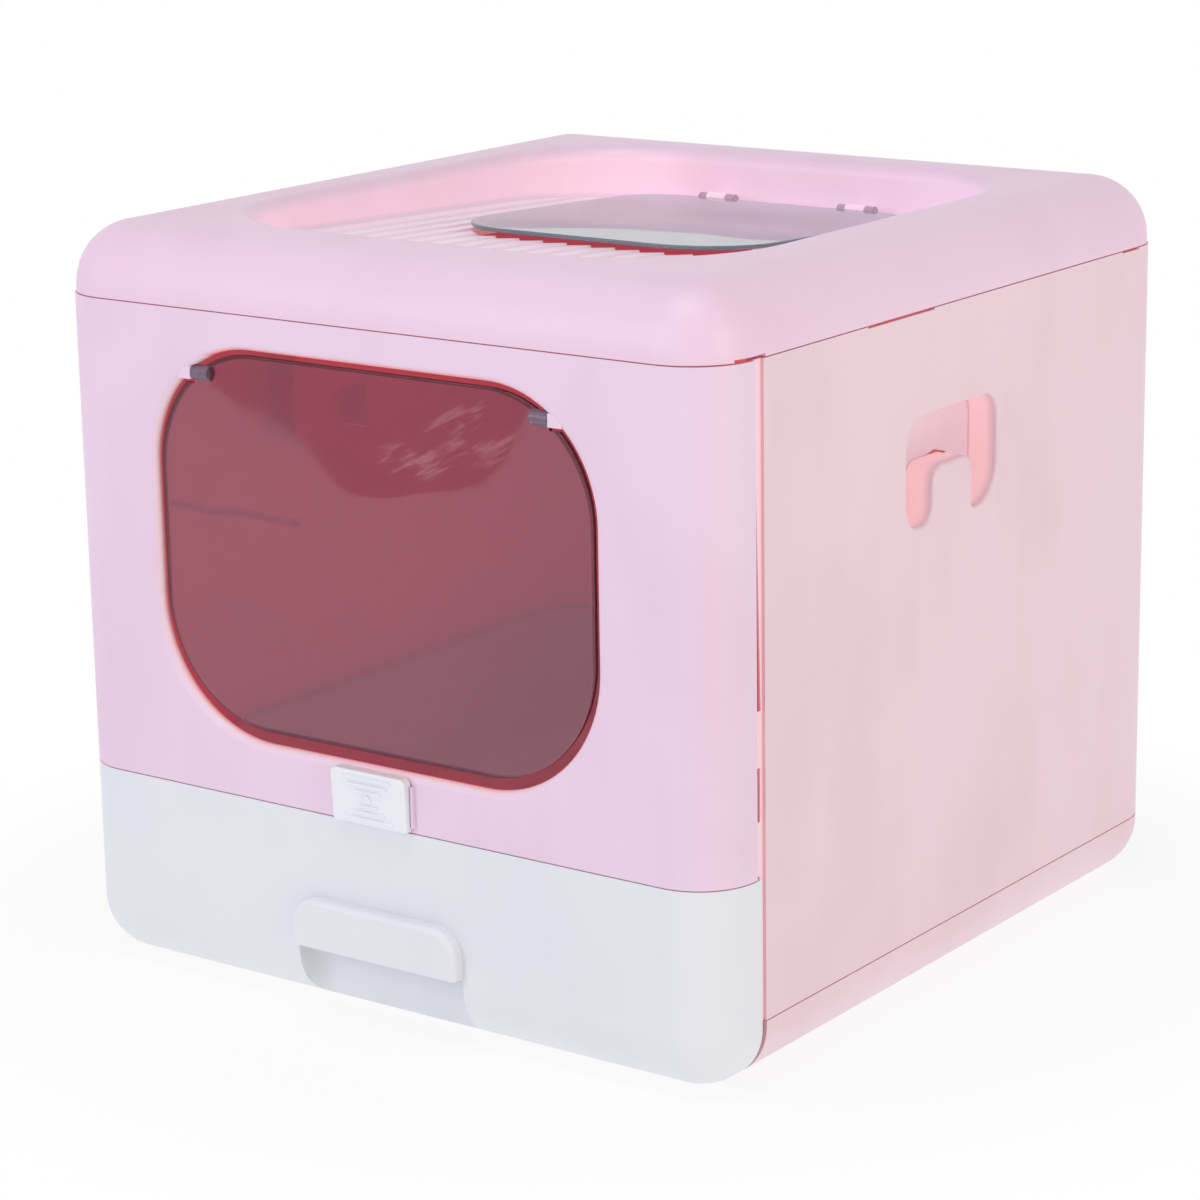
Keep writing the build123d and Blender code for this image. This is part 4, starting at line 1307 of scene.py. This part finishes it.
@dataclass
class Studio:
    """Camera, lamps, world and floor.

    Attributes:
        eye: Where the camera stands.
        yaw: How far it looks to the left of +Y, in radians.
        pitch: How far it looks down, in radians.
        roll: How far it is turned about its own axis, in radians.
        lens: Focal length for a sensor 36 mm wide, in millimetres.
        sky_colour, sky_light: Colour and strength of the even light from all round.
        floor_size: Side of the square floor.
        floor_white: How much of the floor's own white shows under the object; all does away from it.
        bounce: Light that the floor throws back at the object.
        aim: Point that the soft lamps face.
        soft_lamps: The large lamps.
        cabin_spots, cabin_radius, cabin_power, cabin_colour: The lamps in the cabin.
        board_height: Height of the dark board over the floor.
        board_corners: X and Y of the corners of the board's edge that the flap mirrors.
    """

    eye: Vector = field(default_factory=lambda: Vector((1.073878, -1.50248, 0.6543)))
    yaw: float = 0.6280
    pitch: float = 0.25584
    roll: float = -0.01618
    lens: float = 108.99
    sky_colour: Colour = (1.0, 0.97, 1.0)
    sky_light: float = 0.46
    floor_size: float = 24.0
    floor_white: float = 0.84
    bounce: float = 0.9
    aim: tuple[float, float, float] = (0, 0, 0.2)
    soft_lamps: Sequence[SoftLamp] = (
        SoftLamp("key_lamp", (-0.9, -2.5, 1.1), 1.8, 20.8, (0.90, 0.85, 1.0)),
        SoftLamp("side_lamp", (2.6, -0.4, 0.7), 1.6, 20.6, (1.0, 0.90, 0.80)),
        SoftLamp("top_lamp", (0.1, -0.8, 2.6), 1.6, 18.6, (0.98, 1.0, 0.99)),
    )
    cabin_spots: Sequence[tuple[float, float, float]] = ((0.03, -0.12, 0.20), (0.03, 0.08, 0.20))
    cabin_radius: float = 0.06
    cabin_power: float = 0.162
    cabin_colour: Colour = (1.0, 0.17, 0.23)
    board_height: float = 2 * MM
    board_corners: Sequence[tuple[float, float]] = (
        (-1.60, -1.80),
        (-1.205, -1.410),
        (-0.985, -1.258),
        (-0.895, -1.195),
        (-0.757, -1.095),
        (-0.726, -1.098),
        (-0.690, -1.152),
        (-0.699, -1.204),
        (-0.732, -1.269),
        (-0.857, -1.473),
        (-1.20, -2.20),
    )

    def build(self) -> None:
        """Makes the whole studio."""
        self.camera()
        self.world()
        self.floor()
        self.dark_board()
        self.lamps()
        self.inner_lamps()
        bpy.context.scene.view_settings.view_transform = "Standard"

    def camera(self) -> None:
        """Places the camera as the photograph was taken."""
        forward = Vector(
            (
                -math.sin(self.yaw) * math.cos(self.pitch),
                math.cos(self.yaw) * math.cos(self.pitch),
                -math.sin(self.pitch),
            )
        )
        level = Vector((math.cos(self.yaw), math.sin(self.yaw), 0))
        upright = level.cross(forward)
        right = level * math.cos(self.roll) + upright * math.sin(self.roll)
        up = upright * math.cos(self.roll) - level * math.sin(self.roll)
        data = bpy.data.cameras.new("camera")
        data.lens = self.lens
        data.sensor_width = 36
        data.clip_end = 30
        camera = bpy.data.objects.new("camera", data)
        turn = Matrix((right, up, -forward)).transposed().to_4x4()
        camera.matrix_world = Matrix.Translation(self.eye) @ turn
        bpy.context.scene.collection.objects.link(camera)
        bpy.context.scene.camera = camera

    def world(self) -> None:
        """Lights evenly from all round, and shows white behind the object."""
        world = bpy.data.worlds.new("studio")
        bpy.context.scene.world = world
        make = Maker(world)
        sky = {"Color": self.sky_colour, "Strength": self.sky_light}
        light, white = (
            make.node("ShaderNodeBackground", inputs=inputs).outputs[0]
            for inputs in (sky, {"Color": (1.0, 1.0, 1.0)})
        )
        mixed = make.mixed(make.rays("Camera", "Transmission", "Glossy"), light, white)
        make.node("ShaderNodeOutputWorld", inputs={"Surface": mixed})

    def floor(self) -> None:
        """Lays a pale floor that takes the object's shadow and turns white away from it."""
        clear_selection()
        bpy.ops.mesh.primitive_plane_add(size=self.floor_size, location=(0, 0, 0))
        floor = bpy.context.object
        floor.name = "floor"
        make = Maker(bpy.data.materials.new("floor_white"))
        x, y, _ = make.axes()
        away = (x * x + y * y).ramp(0.06, 0.20)
        far = self.floor_white + (1 - self.floor_white) * away
        seen = make.rays("Camera", "Transmission", "Glossy")
        bounce = self.bounce * make.rays("Diffuse")
        paper = make.noise(0.002, detail=2.0)
        matt = make.shader(
            Base_Color=(0.93, 0.93, 0.93),
            Roughness=0.8 + 0.05 * paper,
            Specular_IOR_Level=0.1,
        )
        glow = make.node("ShaderNodeEmission", inputs={"Color": (1.0, 1.0, 1.0), "Strength": 1.0})
        whitened = make.mixed((far * seen).most(bounce), matt, glow.outputs[0])
        floor.data.materials.append(make.done(whitened))

    def dark_board(self) -> None:
        """Lays the edge of a dark board far in front, which only the glossy flap mirrors."""
        clear_selection()
        corner_count = len(self.board_corners)
        bpy.ops.mesh.primitive_circle_add(vertices=corner_count, radius=1, fill_type="NGON")
        board = bpy.context.object
        board.name = "dark_board"
        for vertex, (x, y) in zip(board.data.vertices, self.board_corners):
            vertex.co = (x, y, self.board_height)
        board.data.update()
        make = Maker(bpy.data.materials.new("board_grey"))
        weave = make.noise(0.004, detail=2.0)
        surface = make.shader(Base_Color=(0.05, 0.05, 0.055), Roughness=0.8 + 0.1 * weave)
        board.data.materials.append(make.done(surface))
        for kind in ("camera", "diffuse", "transmission", "shadow"):
            setattr(board, f"visible_{kind}", False)

    def lamps(self) -> None:
        """Hangs the large soft lamps."""
        for plan in self.soft_lamps:
            data = bpy.data.lights.new(plan.name, "AREA")
            data.shape = "DISK"
            data.size = plan.size
            data.energy = plan.power
            data.color = plan.colour
            lamp = bpy.data.objects.new(plan.name, data)
            lamp.location = plan.place
            lamp.rotation_mode = "QUATERNION"
            lamp.rotation_quaternion = (Vector(self.aim) - lamp.location).to_track_quat("-Z", "Y")
            bpy.context.scene.collection.objects.link(lamp)

    def inner_lamps(self) -> None:
        """Lights the cabin with the daylight that its thin pink walls let through."""
        for place in self.cabin_spots:
            data = bpy.data.lights.new("inner_lamp", "POINT")
            data.shadow_soft_size = self.cabin_radius
            data.energy = self.cabin_power
            data.color = self.cabin_colour
            lamp = bpy.data.objects.new("inner_lamp", data)
            lamp.location = place
            for kind in ("camera", "glossy", "transmission"):
                setattr(lamp, f"visible_{kind}", False)
            bpy.context.scene.collection.objects.link(lamp)


def main() -> None:
    """Loads the frame, dresses it part by part, and sets up the studio."""
    logging.basicConfig(level=logging.INFO, format="%(name)s: %(message)s")
    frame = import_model()
    nodes = frame["nodes"]
    steel = PlatedSteel().make()
    Shell().build(nodes)
    Doors().build(nodes, steel)
    Drawer().build(nodes, steel)
    Lock().build(nodes, steel)
    Studio().build()


if __name__ == "__main__":
    main()
